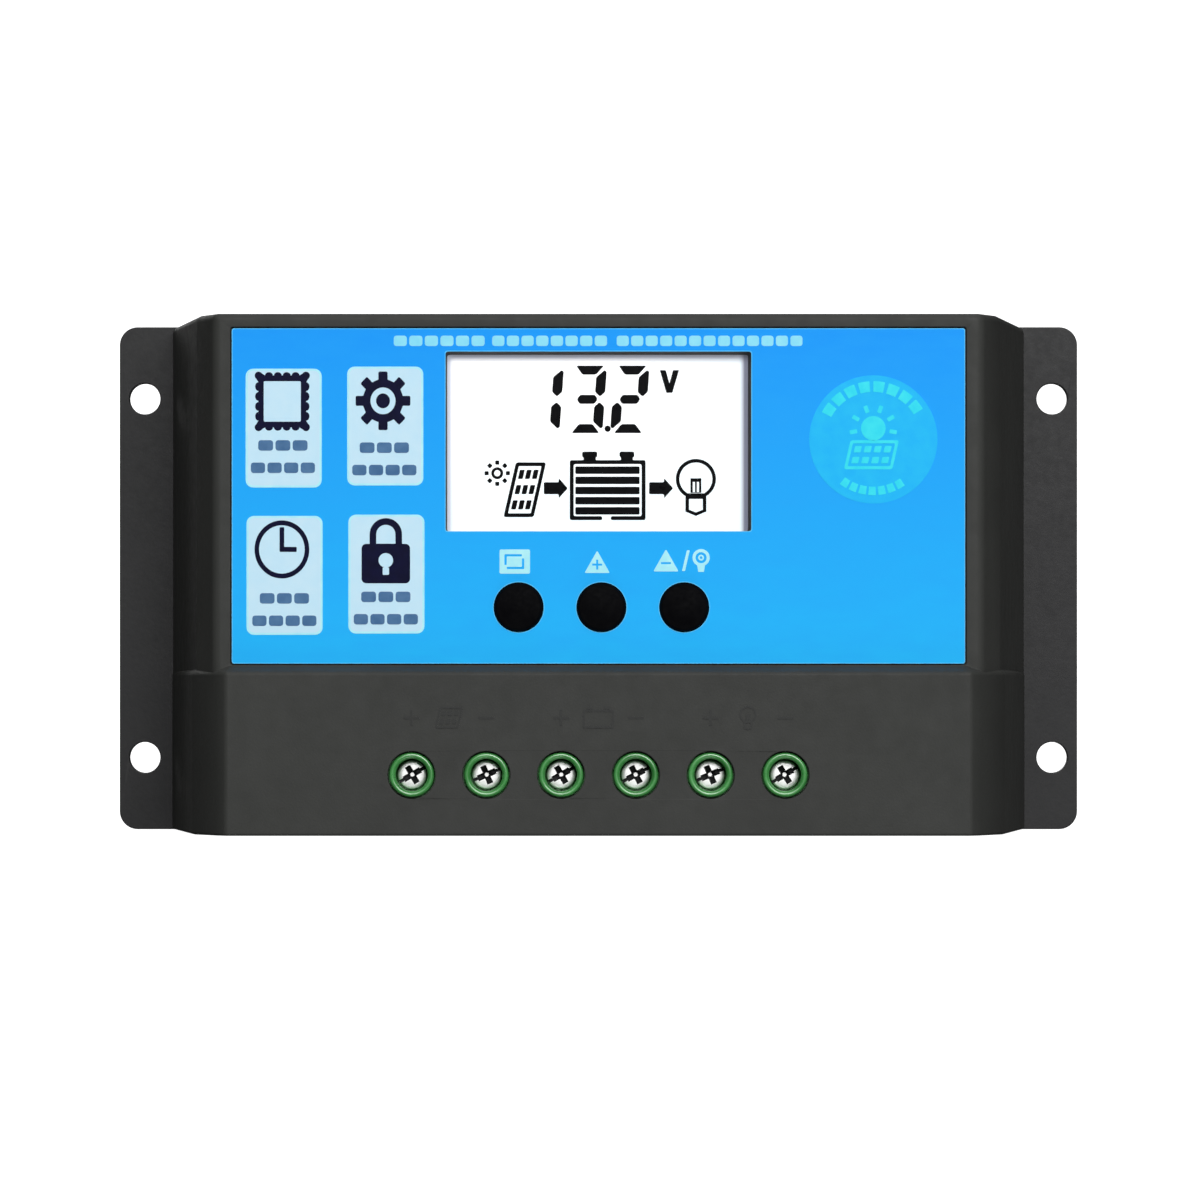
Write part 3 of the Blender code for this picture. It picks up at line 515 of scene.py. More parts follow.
def label_film():
    """Blue screen-printed polyester, with painted light: lighter towards the foot, where the light falls
    brighter, and a faint mottle in the ink.
    """
    made = Surface("label_film", specular=0.08)
    # Painted light: the blue runs lighter towards the foot, standing in for brighter light there.
    shade = made.blend(made.along("Z", -11, 34), linear(35, 184, 252), linear(22, 152, 250))
    mottle = made.spread(made.noise(5, 4, (1, 1, 3)), 0.0, 0.3)
    made.set("Base Color", made.blend(mottle, shade, linear(34, 166, 249)))
    made.sheen(0.8, 4, 0.4, 0.5)
    made.grain(0.22, 3, 0.004, 0.5)
    made.grain(12, 2, 0.05, 0.15)
    return made.material


def ink(name, colour_a, colour_b):
    """Screen-printed ink with a soft unevenness, also used for the painted highlight along the film's cut
    edges.
    """
    made = Surface(name, specular=0.08)
    made.mottle(1.6, 4, colour_a, colour_b)
    made.sheen(0.6, 3, 0.35, 0.47)
    made.grain(0.25, 3, 0.003, 0.5)
    return made.material


def lcd_face():
    """A backlit display under a clear film: near white, greyer towards the right and the foot, with painted
    shadow at the top and sides, where the case stands over it."""
    left, bottom, right, top = WINDOW
    made = Surface("lcd_face", specular=0.35)
    made.set("Roughness", 0.18)
    right_tint = linear(234, 244, 250)
    glow = made.blend(made.along("X", 2, right + 2), linear(255, 255, 255), right_tint)
    glow = made.blend(made.along("Z", 22, bottom - 3), glow, linear(236, 248, 251))
    # Painted shadow of the window's edges at the top, right and left, in the colour and in the glow.
    for axis, start, end, shade in (
        ("Z", top - 1.5, top - 0.6, linear(186, 188, 200)),
        ("X", right - 1.75, right - 0.87, linear(122, 126, 142)),
        ("X", left + 1.2, left + 0.45, linear(196, 200, 212)),
    ):
        glow = made.blend(made.eased(made.along(axis, start, end)), glow, shade)
    made.set("Base Color", glow)
    made.set("Emission Color", glow)
    made.set("Emission Strength", 0.3)
    made.grain(6, 1, 0.01, 0.1)
    return made.material


def lcd_ink():
    made = Surface("lcd_dark_segment", specular=0.06)
    made.mottle(1.5, 2, linear(3, 3, 5), linear(8, 8, 11))
    made.sheen(1.0, 2, 0.26, 0.36)
    return made.material


def button_rubber():
    """Deep black silicone, matt, with a very fine skin."""
    made = Surface("button_rubber", specular=0.05)
    made.mottle(1.5, 3, linear(2, 2, 4), linear(6, 6, 8))
    made.sheen(0.5, 4, 0.62, 0.8)
    made.grain(0.2, 4, 0.012, 0.5)
    return made.material


def terminal_plastic():
    """Green polyamide with a waxy gloss and faint flow marks."""
    made = Surface("terminal_plastic", specular=0.8)
    made.mottle(3, 3, linear(50, 126, 56), linear(76, 156, 82))
    made.sheen(1.2, 3, 0.24, 0.36)
    made.set("Coat Weight", 0.6)
    made.set("Coat Roughness", 0.2)
    made.grain(0.9, 3, 0.012, 0.3)
    return made.material


def plated_steel():
    """Bright nickel plate, satin, with fine turning marks and rubbed patches."""
    made = Surface("plated_steel", metallic=1.0)
    made.mottle(1.1, 3, (0.86, 0.86, 0.85), (0.97, 0.97, 0.96))
    made.sheen(0.5, 3, 0.44, 0.55)
    made.grain(0.35, 3, 0.006, 0.25)
    return made.material


def recess_shadow():
    """Painted shade: near-black walls of a driver recess, standing in for the shade deep inside it."""
    made = Surface("recess_shadow", metallic=0.3, specular=0.2)
    made.set("Roughness", 0.6)
    made.mottle(0.4, 3, (0.008, 0.008, 0.009), (0.02, 0.02, 0.021))
    made.grain(0.2, 3, 0.006, 0.4)
    return made.material


def zinc_plate():
    """Stamped and tumbled steel with a grainy zinc plate."""
    made = Surface("zinc_plate", metallic=1.0)
    made.mottle(1.5, 4, (0.50, 0.51, 0.50), (0.72, 0.72, 0.70))
    made.sheen(0.7, 4, 0.28, 0.48)
    made.grain(0.2, 3, 0.01, 0.45)
    return made.material


def tinned(name, colour_a, colour_b):
    """Tin over copper or brass: soft, bright and a little patchy."""
    made = Surface(name, metallic=1.0)
    made.mottle(1.8, 4, colour_a, colour_b)
    made.sheen(0.8, 3, 0.22, 0.4)
    made.grain(0.3, 2, 0.008, 0.3)
    return made.material


def black_steel():
    """Black zinc on steel screws."""
    made = Surface("black_steel", metallic=0.6)
    made.mottle(1.6, 3, (0.016, 0.016, 0.018), (0.032, 0.032, 0.035))
    made.sheen(0.8, 3, 0.32, 0.44)
    made.grain(0.5, 2, 0.004, 0.25)
    return made.material


def moulded(name, colour_a, colour_b, roughness, grain_mm=0.3, depth_mm=0.01):
    """A plain moulded plastic or epoxy with its own grain."""
    made = Surface(name, specular=0.4)
    made.mottle(3, 3, colour_a, colour_b)
    made.sheen(0.9, 3, roughness - 0.07, roughness + 0.08)
    made.grain(grain_mm, 3, depth_mm, 0.5)
    return made.material


def display_glass():
    made = Surface("display_glass")
    made.set("Base Color", (0.9, 0.95, 0.93))
    made.set("Roughness", 0.05)
    made.set("Transmission Weight", 0.9)
    made.set("IOR", 1.5)
    made.grain(9, 1, 0.004, 0.1)
    return made.material


def backlight_acrylic():
    """Diffusing acrylic with a fine dot pattern, lit from its ends."""
    made = Surface("backlight_acrylic")
    made.set("Base Color", (0.9, 0.93, 0.95))
    made.set("Roughness", 0.35)
    dots = made.node("TexVoronoi", {"Vector": made.place, "Scale": 1 / (0.6 * MM)}).outputs["Distance"]
    made.bump(dots, 0.02, 0.5)
    made.set("Emission Color", made.blend(dots, (0.95, 0.97, 1.0), (0.75, 0.8, 0.85)))
    made.set("Emission Strength", 0.6)
    return made.material


def solder_mask():
    """Green circuit board: glossy mask over copper tracks that show through as paler lines."""
    made = Surface("solder_mask")
    turn = made.node("Mapping", {"Vector": made.place, "Rotation": (math.radians(90), 0, 0)})
    sizes = {"Scale": 1 / MM, "Mortar Size": 0.06, "Brick Width": 4.0, "Row Height": 1.3}
    tracks = made.node("TexBrick", {"Vector": turn.outputs["Vector"], **sizes}).outputs["Fac"]
    made.set("Base Color", made.blend(tracks, (0.010, 0.095, 0.030), (0.03, 0.20, 0.07)))
    made.sheen(2.0, 3, 0.24, 0.38)
    made.bump(tracks, 0.02, 0.4)
    return made.material


SURFACES = {
    "case": case_plastic(),
    "symbol": symbol_plastic(),
    "plate": plate_coating(),
    "film": label_film(),
    "tile": ink("tile_ink", linear(200, 232, 248), linear(194, 230, 248)),
    "navy": ink("navy_ink", linear(3, 4, 36), linear(6, 8, 48)),
    "caption": ink("caption_ink", linear(84, 122, 162), linear(68, 106, 148)),
    "title": ink("title_ink", linear(150, 228, 247), linear(134, 220, 246)),
    "pale": ink("pale_ink", linear(184, 244, 250), linear(164, 234, 248)),
    # A painted highlight along the film's cut edges.
    "edge": ink("painted_edge_highlight_ink", linear(96, 200, 250), linear(80, 190, 250)),
    "disc": ink("disc_ink", linear(30, 182, 248), linear(36, 190, 247)),
    "cyan": ink("cyan_ink", linear(64, 228, 242), linear(46, 216, 240)),
    "lcd": lcd_face(),
    "segment": lcd_ink(),
    "button": button_rubber(),
    "terminal": terminal_plastic(),
    "plated": plated_steel(),
    "recess": recess_shadow(),
    "zinc": zinc_plate(),
    "brass": tinned("tinned_brass", (0.74, 0.68, 0.52), (0.80, 0.76, 0.66)),
    "copper": tinned("tinned_copper", (0.78, 0.72, 0.66), (0.70, 0.68, 0.66)),
    "black_steel": black_steel(),
}


# ---- Case ----


def terminal_section(bottom):
    """The raised lower section. Its sides stand on its plan, and slope in at the top to the label's face."""
    plan = plan_of(LOWER_OUTLINE)
    top = inset(plan, UPPER_FACE_Y - LOWER_FACE_Y)
    return stand_up(loft("section", [(plan, bottom), (plan, STEP_Z - STEP_CHAMFER), (top, STEP_Z)]))


def shell_openings():
    """Cutters for the label's recess, the window, the button and collar holes and the terminal block."""
    outside_y, floor_y, inner_y = UPPER_FACE_Y - 1, UPPER_FACE_Y + RECESS, UPPER_FACE_Y + WALL
    recess = rounded_box(*grown(sides_of("faceplate_label"), 0.2), 0.4)
    front = rounded_box(*WINDOW, 0.35)
    back = rounded_box(*(side + draft for side, draft in zip(WINDOW, WINDOW_DRAFT)), 0.3)
    window = [(front, floor_y - 1), (front, floor_y), (back, inner_y), (back, inner_y + 1)]
    openings = [bore("recess", recess, outside_y, floor_y), loft("window", window)]
    for name in BUTTONS:
        openings.append(bore("button_hole", round_at(f"button_{name}", 3.45), outside_y, UPPER_FACE_Y + 3))
    for way in WAYS:
        hole = round_at(f"terminal_screw_{way}", 3.2)
        openings.append(bore("collar_hole", hole, LOWER_FACE_Y - 1, LOWER_FACE_Y + 3))
    block_low, block_high = low("terminal_housing"), high("terminal_housing")
    corner_a = (block_low.x - 0.3, LOWER_FACE_Y + WALL, block_low.z - 2)
    corner_b = (block_high.x + 0.3, block_high.y + 0.5, block_low.z + 2.7)
    openings.append(box("block_opening", corner_a, corner_b))
    return openings


def posts():
    """Screw bosses for the back plate and posts for the board, and the cutters of their pilot holes."""
    solid, holes = [], []
    for number in range(1, 5):
        plate_screw, board_screw = f"plate_screw_{number}", f"board_screw_{number}"
        rim_y = 0.8 * WALL + (UPPER_FACE_Y if middle(plate_screw).z > 0 else LOWER_FACE_Y)
        solid.append(bore("boss", round_at(plate_screw, 3.0, 40), rim_y, -2.3))
        holes.append(bore("pilot", round_at(plate_screw, 1.5, 32), -14, 0))
        solid.append(bore("post", round_at(board_screw, 2.5, 40), rim_y, low("main_board").y - 0.1))
        holes.append(bore("pilot", round_at(board_screw, 1.25, 32), -22, -13))
    return solid, holes


def case_front():
    bottom, top = low("front_shell").z, high("front_shell").z
    upper, lower = plan_of(UPPER_OUTLINE), plan_of(LOWER_OUTLINE)
    shell = round_edges(prism_up("case_front", upper, bottom, top), SHELL_EDGE, 5, 45)
    shell = join(shell, [round_edges(terminal_section(bottom), 0.4, 4, 25)])
    cavities = [
        prism_up("upper_cavity", inset(upper, WALL), bottom + WALL, top - WALL),
        prism_up("lower_cavity", inset(lower, WALL), bottom + WALL, STEP_Z - WALL),
        box("back_trim", (-100, high("front_shell").y, -100), (100, 50, 100)),
    ]
    solid, holes = posts()
    shell = join(cut(shell, cavities), solid)
    shell = split_faces(cut(shell, shell_openings() + holes))
    piece(round_edges(shell, 0.12, 2, 50), "case", "front_shell")


def wall_plate():
    """The back plate, with its ears' four fixing holes and the countersinks of its own screws."""
    hole_x, hole_z, hole_radius = 63.25, 25.0, 2.15
    outlines = [rounded_box(*sides_of("back_plate"), 2.5, 12)]
    for x in (-hole_x, hole_x):
        outlines += [circle(x, z, hole_radius) for z in (-hole_z, hole_z)]
    plate = sheet_for("back_plate", "wall_plate", outlines, 0.15)
    countersink = [(0, 1), (2.95, 1), (2.95, -0.1), (1.6, -1.45), (1.6, -3), (0, -3)]
    cutters = []
    for number in range(1, 5):
        screw = middle(f"plate_screw_{number}")
        cutters.append(turned("countersink", countersink, (screw.x, 0, screw.z), FACING_BACK, 48))
    piece(cut(plate, cutters), "plate", "back_plate")


# ---- Faceplate ----


def printed(name, outlines, surface, layer=1):
    """Ink on the faceplate, or a painted highlight on it. Each layer lies on the one below."""
    piece(sheet(name, outlines, UPPER_FACE_Y - INK * layer, INK + 0.02), surface)


def film_outlines(edge):
    """The film's outline, window and button holes, drawn back from its cut edges."""
    outlines = [rounded_box(*grown(sides_of("faceplate_label"), -edge), 0.3, 4)]
    outlines.append(rounded_box(*grown(WINDOW, edge), 0.35))
    return outlines + [round_at(f"button_{name}", BUTTON_HOLE + edge) for name in BUTTONS]


def faceplate():
    node = "faceplate_label"
    piece(sheet_for(node, "faceplate_film", film_outlines(0), 0.05), "film", node)
    # A painted highlight: a pale line along the film's cut edges, where they would catch the light.
    printed("painted_film_edge_highlights", film_outlines(0) + film_outlines(0.11), "edge", 0.5)

    rims, faces = [], []
    for x, z in TILES:
        sides = (x - 5.1, z - 7.97, x + 5.1, z + 7.97)
        faces.append(rounded_box(*grown(sides, -0.26), 0.8))
        rims += [rounded_box(*sides, 1.0), faces[-1]]
    printed("tile_rims", rims, "pale")
    printed("tile_faces", faces, "tile")
    icons = chip_icon(-42.38, 23.2) + gear_icon(-28.88, 23.28)
    icons += clock_icon(-42.43, 3.36) + padlock_icon(-28.5, 1.5)
    printed("feature_icons", icons, "navy", 2)
    printed("feature_captions", captions(), "caption", 2)
    printed("title_line", title(), "title")
    printed("button_symbols", button_symbols(), "pale")
    printed("emblem_disc", [circle(*EMBLEM, 8.6, 72)], "disc")
    printed("emblem_sun", emblem(*EMBLEM), "cyan", 2)


def scallops(start, end, lobes, bow):
    """Points along a side that swells out to its right in round lobes."""
    along = (end - start).normalized()
    outwards = Vector((along.y, -along.x))
    pitch = (end - start).length / lobes
    made = []
    for lobe in range(lobes):
        centre = start + along * pitch * (lobe + 0.5)
        for step in range(9):
            angle = math.pi * (1 - step / 8)
            offset = along * math.cos(angle) * pitch * 0.44
            made.append(tuple(centre + offset + outwards * math.sin(angle) * bow))
    return made


def chip_icon(x, z):
    """A chip from above: a square with a row of round pins on each side and a knob at each corner."""
    half_width, half_height, knob = 3.2, 3.48, 0.52
    corners = ((-1, -1), (1, -1), (1, 1), (-1, 1))
    outline = []
    for n, (side_x, side_z) in enumerate(corners):
        next_x, next_z = corners[(n + 1) % 4]
        knob_x, knob_z = side_x * (half_width - 0.02), side_z * (half_height - 0.02)
        first = 90 * n - 235
        outline += arc(knob_x, knob_z, knob, first, first + 200, 14)
        start = Vector((side_x * half_width, side_z * half_height))
        end = Vector((next_x * half_width, next_z * half_height))
        along = (end - start).normalized() * (knob + 0.3)
        outline += scallops(start + along, end - along, 4, 0.44)
    return [moved(outline, x, z), rounded_box(x - 2.49, z - 2.72, x + 2.49, z + 2.72, 0.18)]


def gear_icon(x, z):
    teeth, outer, root = 8, 3.72, 2.72
    flank = ((root, -16.0), (root, -13.0), (outer, -9.6), (outer, 9.6), (root, 13.0), (root, 16.0))
    outline = []
    for tooth in range(teeth):
        for radius, offset in flank:
            angle = math.radians(360 / teeth * tooth + 90 + offset)
            outline.append((x + radius * math.cos(angle), z + radius * math.sin(angle)))
    shapes = [softened(outline, 0.22), circle(x, z, 1.68, 40), circle(x, z, 0.93, 32)]
    return [stretched(shape, z, 1.07) for shape in shapes]


def clock_icon(x, z):
    half, up, across = 0.31, 2.8, 1.98
    hands = [(-half, up), (-half, -half), (across, -half), (across, half), (half, half), (half, up)]
    shapes = [circle(0, 0, 3.67, 64), circle(0, 0, 3.06, 60), softened(hands, 0.12)]
    return [moved(stretched(shape, 0, 1.06), x, z) for shape in shapes]


def padlock_icon(x, z):
    half_width, bottom, top, corner = 3.25, -2.68, 2.6, 0.62
    shackle_x, bar, crown_z = 2.17, 0.88, 3.88
    knee = half_width - corner
    outline = arc(-knee, bottom + corner, corner, 180, 270, 6)
    outline += arc(knee, bottom + corner, corner, 270, 360, 6)
    outline += arc(knee, top - corner, corner, 0, 90, 6) + [(shackle_x, top)]
    outline += arc(0, crown_z, shackle_x, 0, 180, 19) + [(-shackle_x, top)]
    outline += arc(-knee, top - corner, corner, 90, 180, 6)
    inner = shackle_x - bar
    opening = [(-inner, top + 0.02), (inner, top + 0.02)] + arc(0, crown_z, inner, 0, 180, 17)
    slot = softened([(-0.42, -0.5), (-0.44, -1.55), (0.44, -1.55), (0.42, -0.5)], 0.2)
    keyhole = arc(0, 0.4, 0.98, -64, 244, 24) + slot
    return [moved(shape, x, z) for shape in (outline, opening, keyhole)]


def block_row(centre_x, base_z, width, height=1.4, gap=0.32):
    """A row of equal plain blocks, in the place of a line of print."""
    count = round(width / (height * 1.4))
    block = (width - gap * (count - 1)) / count
    lefts = [centre_x - width / 2 + n * (block + gap) for n in range(count)]
    return [rounded_box(left, base_z, left + block, base_z + height, height * 0.24, 3) for left in lefts]


def captions():
    """Two rows under each icon, 3 mm apart."""
    made = []
    for centre_x, upper_z in ((-42.3, 16.6), (-28.7, 16.3), (-42.1, -3.9), (-28.5, -3.7)):
        made += block_row(centre_x, upper_z, 6.6) + block_row(centre_x, upper_z - 3, 8.6)
    return made


def title():
    z = 30.62
    return block_row(-21.35, z, 12.2) + block_row(-6.55, z, 15.4) + block_row(14.9, z, 24.9)


def button_symbols():
    """Above the buttons: a loop, a triangle with a plus, and a triangle with a minus beside a lamp."""
    left, right, bottom, top, bar = -12.6, -9.95, 0.72, 2.72, 0.3
    upper = [(left, bottom + 0.55), (left + bar, bottom + 0.55), (left + bar, top - bar)]
    upper += [(right - bar, top - bar), (right - bar, top), (left, top)]
    lower = mirrored(upper, (left + right) / 2, (bottom + top) / 2)
    shapes = [softened(rectangle(-13.26, 0.1, -9.17, 3.36), 0.25)]
    shapes += [softened(half_loop, 0.15) for half_loop in (upper, lower)]

    for centre, foot, sign in ((-0.17, 0.2, plus), (9.05, 0.4, minus)):
        shapes.append(softened([(centre - 1.7, foot), (centre + 1.7, foot), (centre, foot + 3.0)], 0.22))
        shapes.append(sign(centre, foot + 1.12, 0.66, 0.13))

    shapes.append(softened([(11.2, 0.45), (11.6, 0.45), (12.25, 3.25), (11.85, 3.25)], 0.12))
    x, z, foot = 13.76, 2.25, 0.34
    cap = [(x - 0.5, z - 1.2), (x - 0.38, foot), (x + 0.38, foot), (x + 0.5, z - 1.2)]
    shapes.append(arc(x, z, 1.16, -62, 242, 30) + cap)
    return shapes + [circle(x, z, 0.74, 28), circle(x, z, 0.4, 20), circle(x, z, 0.18, 14)]


def plus(x, z, reach, half):
    arm = [(half, half), (half, reach), (-half, reach)]
    return moved([point for turn in range(4) for point in rotated(arm, 90 * turn)], x, z)


def minus(x, z, reach, half):
    return rectangle(x - reach, z - half, x + reach, z + half)


def rays(x, z, inner, outer, half_width, angles):
    """Short bars round a centre."""
    bar = softened(rectangle(inner, -half_width, outer, half_width), half_width * 0.5, 3)
    return [moved(rotated(bar, angle), x, z) for angle in angles]


def emblem(x, z):
    """A sun over a panel, between two curved rows of blocks."""
    shapes = [circle(x, z + 1.5, 1.65, 36)] + rays(x, z + 1.5, 2.2, 3.2, 0.28, range(-10, 200, 40))
    shapes += solar_panel(x - 3.95, z - 4.0, 6.5, 3.9, 0.42, 2, 4)
    for first, last, radius, blocks, width in ((152, 28, 7.1, 8, 1.45), (233, 307, 6.9, 7, 1.15)):
        step = (last - first) / blocks
        for n in range(blocks):
            start, end = first + n * step, first + (n + 0.76) * step
            outline = arc(x, z, radius + width / 2, start, end, 8)
            outline += arc(x, z, radius - width / 2, end, start, 8)
            shapes.append(softened(outline, 0.2, 3))
    return shapes


# ---- Display ----


def digit_shapes(bars, x, z):
    """The named bars of a leaning seven-segment digit. x, z is its lower left corner."""
    width, height, stroke, level, gap = 4.7, 9.05, 1.36, 1.2, 0.36
    centre_x, centre_z, inner, under = width / 2, height / 2, width - stroke, height - level
    top = [(0.55, height), (width - 0.42, height), (inner - 0.05, under), (stroke + 0.1, under)]
    upright = [(inner, height - 1.55), (inner, centre_z + 1.0), (inner + stroke / 2, centre_z + gap)]
    upright += [(width, centre_z + 1.0), (width, height - 0.8), (width - 0.3, height - 0.6)]
    across = [(0.95, centre_z), (1.35, centre_z + level / 2), (width - 1.35, centre_z + level / 2)]
    across += [(width - 0.95, centre_z), (width - 1.35, centre_z - level / 2), (1.35, centre_z - level / 2)]
    outlines = {
        "top": top,
        "upper_right": upright,
        "middle": across,
        "lower_left": mirrored(upright, centre_x, centre_z),
        "lower_right": mirrored(upright, z=centre_z),
        "bottom": mirrored(top, z=centre_z),
    }
    return [moved(sheared(softened(outlines[bar], 0.26), 4.0), x, z) for bar in bars]


def arrow(x, z):
    """A stubby arrow to the right, from x."""
    shaft, head, neck, tip = 0.8, 1.36, 2.0, 3.22
    outline = [(0, -shaft), (neck, -shaft), (neck, -head), (tip, 0), (neck, head), (neck, shaft), (0, shaft)]
    return moved(softened(outline, 0.2), x, z)


def solar_panel(x, z, width, height, line, rows, columns):
    """A leaning panel outline with rows of cells. x, z is its lower left corner."""
    shapes = [softened(rectangle(0, 0, width, height), 0.35)]
    shapes.append(softened(rectangle(line, line, width - line, height - line), 0.15))
    cell_width, cell_height = (width - line * 2) / (columns + 0.25), (height - line * 2) / (rows + 0.1)
    for row in range(rows):
        for column in range(columns):
            left = line + cell_width * (0.28 + column)
            bottom = line + cell_height * (0.26 + row)
            cell = rectangle(left, bottom, left + cell_width * 0.7, bottom + cell_height * 0.6)
            shapes.append(softened(cell, 0.14, 3))
    return [moved(sheared(shape, 12.8), x, z) for shape in shapes]


def battery_shapes():
    """An outline with two terminals, open at the foot, and five charge bars, about the window's centre."""
    left, right, bottom, top, line = -3.85, 6.33, -10.5, -2.45, 0.52
    gap_left, gap_right, rise = 0.5, 1.66, 1.15
    outline = [(gap_left, bottom), (left, bottom), (left, top)]
    for start, end in ((-2.19, -0.17), (2.83, 4.81)):
        outline += [(start + 0.2, top), (start + 0.2, top + 0.35), (start, top + 0.5), (start, top + rise)]
        outline += [(end, top + rise), (end, top + 0.5), (end - 0.2, top + 0.35), (end - 0.2, top)]
    outline += [(right, top), (right, bottom), (gap_right, bottom), (gap_right, bottom + line)]
    outline += [(right - line, bottom + line), (right - line, top - line), (left + line, top - line)]
    outline += [(left + line, bottom + line), (gap_left, bottom + line)]
    shapes = [softened(outline, 0.28)]
    for n in range(5):
        bar_z = -3.8 - 1.365 * n
        shapes.append(softened(rectangle(-3.1, bar_z - 0.5, 5.53, bar_z + 0.5), 0.16))
    return shapes


def lamp_shapes(x, z, radius, line):
    """A lamp's outline with a filament, on a small pointed cap."""
    cap_half, cap_top, cap_foot, tip = radius * 0.52, z - radius * 0.92, z - radius * 1.62, z - radius * 1.84
    outline = arc(x, z, radius, -59, 239, 44)
    outline += [(x - cap_half, cap_top), (x - cap_half, cap_foot), (x, tip), (x + cap_half, cap_foot)]
    outline.append((x + cap_half, cap_top))
    bulb = arc(x, z, radius - line, -60, 240, 40)
    inner_half = cap_half - line
    cap = [(x - inner_half, cap_top - line * 0.4), (x - inner_half, cap_foot + line * 0.5), (x, tip + line)]
    cap += [(x + inner_half, cap_foot + line * 0.5), (x + inner_half, cap_top - line * 0.4)]
    foot = z - (radius - line) * 0.84
    shapes = [outline, bulb, cap, rectangle(x - radius * 0.27, foot, x + radius * 0.27, z + line * 0.2)]
    slot = rectangle(-radius * 0.055, foot + line * 0.2, radius * 0.055, z - line * 0.8)
    return shapes + [moved(slot, x + side * radius * 0.1, 0) for side in (-1, 1)]


def display():
    """The clear face, and the dark segments on it."""
    left, bottom, right, top = WINDOW
    node = "lcd_polariser"
    screen = sheet_for(node, "lcd_screen", [rounded_box(*sides_of(node), 0.3)], 0.03)
    piece(screen, "lcd", node)

    shapes = digit_shapes(("upper_right", "lower_right"), -9.95, 1.2)
    shapes += digit_shapes(("top", "upper_right", "middle", "lower_right", "bottom"), -4.17, 1.2)
    shapes += digit_shapes(("top", "upper_right", "middle", "lower_left", "bottom"), 1.55, 1.2)
    volt = [(8.25, 9.65), (9.05, 9.65), (9.54, 7.85), (10.03, 9.65), (10.83, 9.65), (9.93, 6.6), (9.13, 6.6)]
    shapes += [circle(1.24, 1.78, 0.42, 20), softened(volt, 0.12)]
    sun = (-13.6, -4.2)
    shapes += [circle(*sun, 0.8, 26), circle(*sun, 0.42, 22)] + rays(*sun, 1.15, 1.7, 0.27, range(0, 360, 45))
    shapes += solar_panel(-12.76, -10.1, 4.05, 7.35, 0.5, 3, 3) + [arrow(-7.34, -6.22), arrow(6.82, -6.22)]
    shapes += battery_shapes() + lamp_shapes(13.1, -4.98, 2.7, 0.48)
    shapes = [moved(shape, (left + right) / 2, (bottom + top) / 2) for shape in shapes]
    piece(sheet("lcd_segments", shapes, low(node).y - 0.02, 0.04), "segment")


# ---- Buttons ----


def button_caps():
    """Low domes with a soft shoulder, a flange behind the case and a socket for the switch's stem."""
    radius, rise, sag, shoulder = 3.25, 1.1, 0.42, 0.55
    flat = radius - shoulder
    profile = [(flat * n / 6, rise - sag * (n / 6) ** 2) for n in range(7)]
    profile += reversed(arc(flat, rise - sag - shoulder, shoulder, 0, 78, 8))
    profile += [(radius, -2.1), (4.1, -2.1), (4.1, -3.0), (2.3, -3.0), (2.3, -7.2)]
    profile += [(1.85, -7.2), (1.85, -4.1), (0, -4.1)]
    for name in BUTTONS:
        centre = middle(f"button_{name}")
        cap = turned(f"{name}_button_cap", profile, (centre.x, UPPER_FACE_Y, centre.z), steps=72)
        piece(cap, "button", f"button_{name}", f"{name}_button")


# ---- Terminal block ----


def collar_profile(front_y, outer, inner):
    """A collar's turned outline, from its lip down to where it joins the block."""
    crest = (outer - inner) / 2
    lip_height = -low("terminal_housing").y
    lip = arc((outer + inner) / 2, lip_height - crest, crest, 180, 0, 15)
    return [(0, lip_height - crest - 0.1), *lip, (outer, -(front_y + 1)), (0, -(front_y + 1))]


def cable_entry(x):
    """A funnel in the block's foot, as a cutter."""
    outline_in = rounded_box(x - 3.3, -22.0, x + 3.3, -15.8, 0.6)
    outline_out = rounded_box(x - 3.65, -22.35, x + 3.65, -15.45, 0.8)
    levels = [(outline_in, -33.0), (outline_in, -34.4), (outline_out, -34.8), (outline_out, -36.0)]
    return stand_up(loft("cable_entry", levels))


def terminal_block():
    """The green housing: a collar, a well, a cage's cavity, a cable entry and a leg's hole for each way."""
    front_y, outer, inner = -32.8, 3.0, 2.25
    block_low = low("terminal_housing")
    block = box("terminal_block", (block_low.x, front_y, block_low.z), high("terminal_housing"))
    block = round_edges(block, 0.4, 3)
    well = [(0, 40), (inner - 0.02, 40), (inner - 0.02, 30.5), (0, 30.5)]
    collars, hollows = [], []
    for way in WAYS:
        screw, bar = f"terminal_screw_{way}", f"contact_bar_{way}"
        x, z, bar_x, bar_z = middle(screw).x, middle(screw).z, middle(bar).x, high(bar).z
        collars.append(turned("collar", collar_profile(front_y, outer, inner), (x, 0, z), steps=72))
        hollows += [
            turned("well", well, (x, 0, z), steps=72),
            bore("shank_hole", round_at(screw, 1.9, 40), -31.5, -28.8),
            box("cavity", (x - 4.3, -29.8, -33.4), (x + 4.3, -15.2, -21.6)),
            cable_entry(x),
            box("leg_hole", (bar_x - 1.2, -16.2, bar_z - 1.0), (bar_x + 1.2, -13.7, bar_z + 0.2)),
        ]
    block = round_edges(cut(join(block, collars), hollows), 0.07, 2, 60)
    piece(block, "terminal", "terminal_housing")


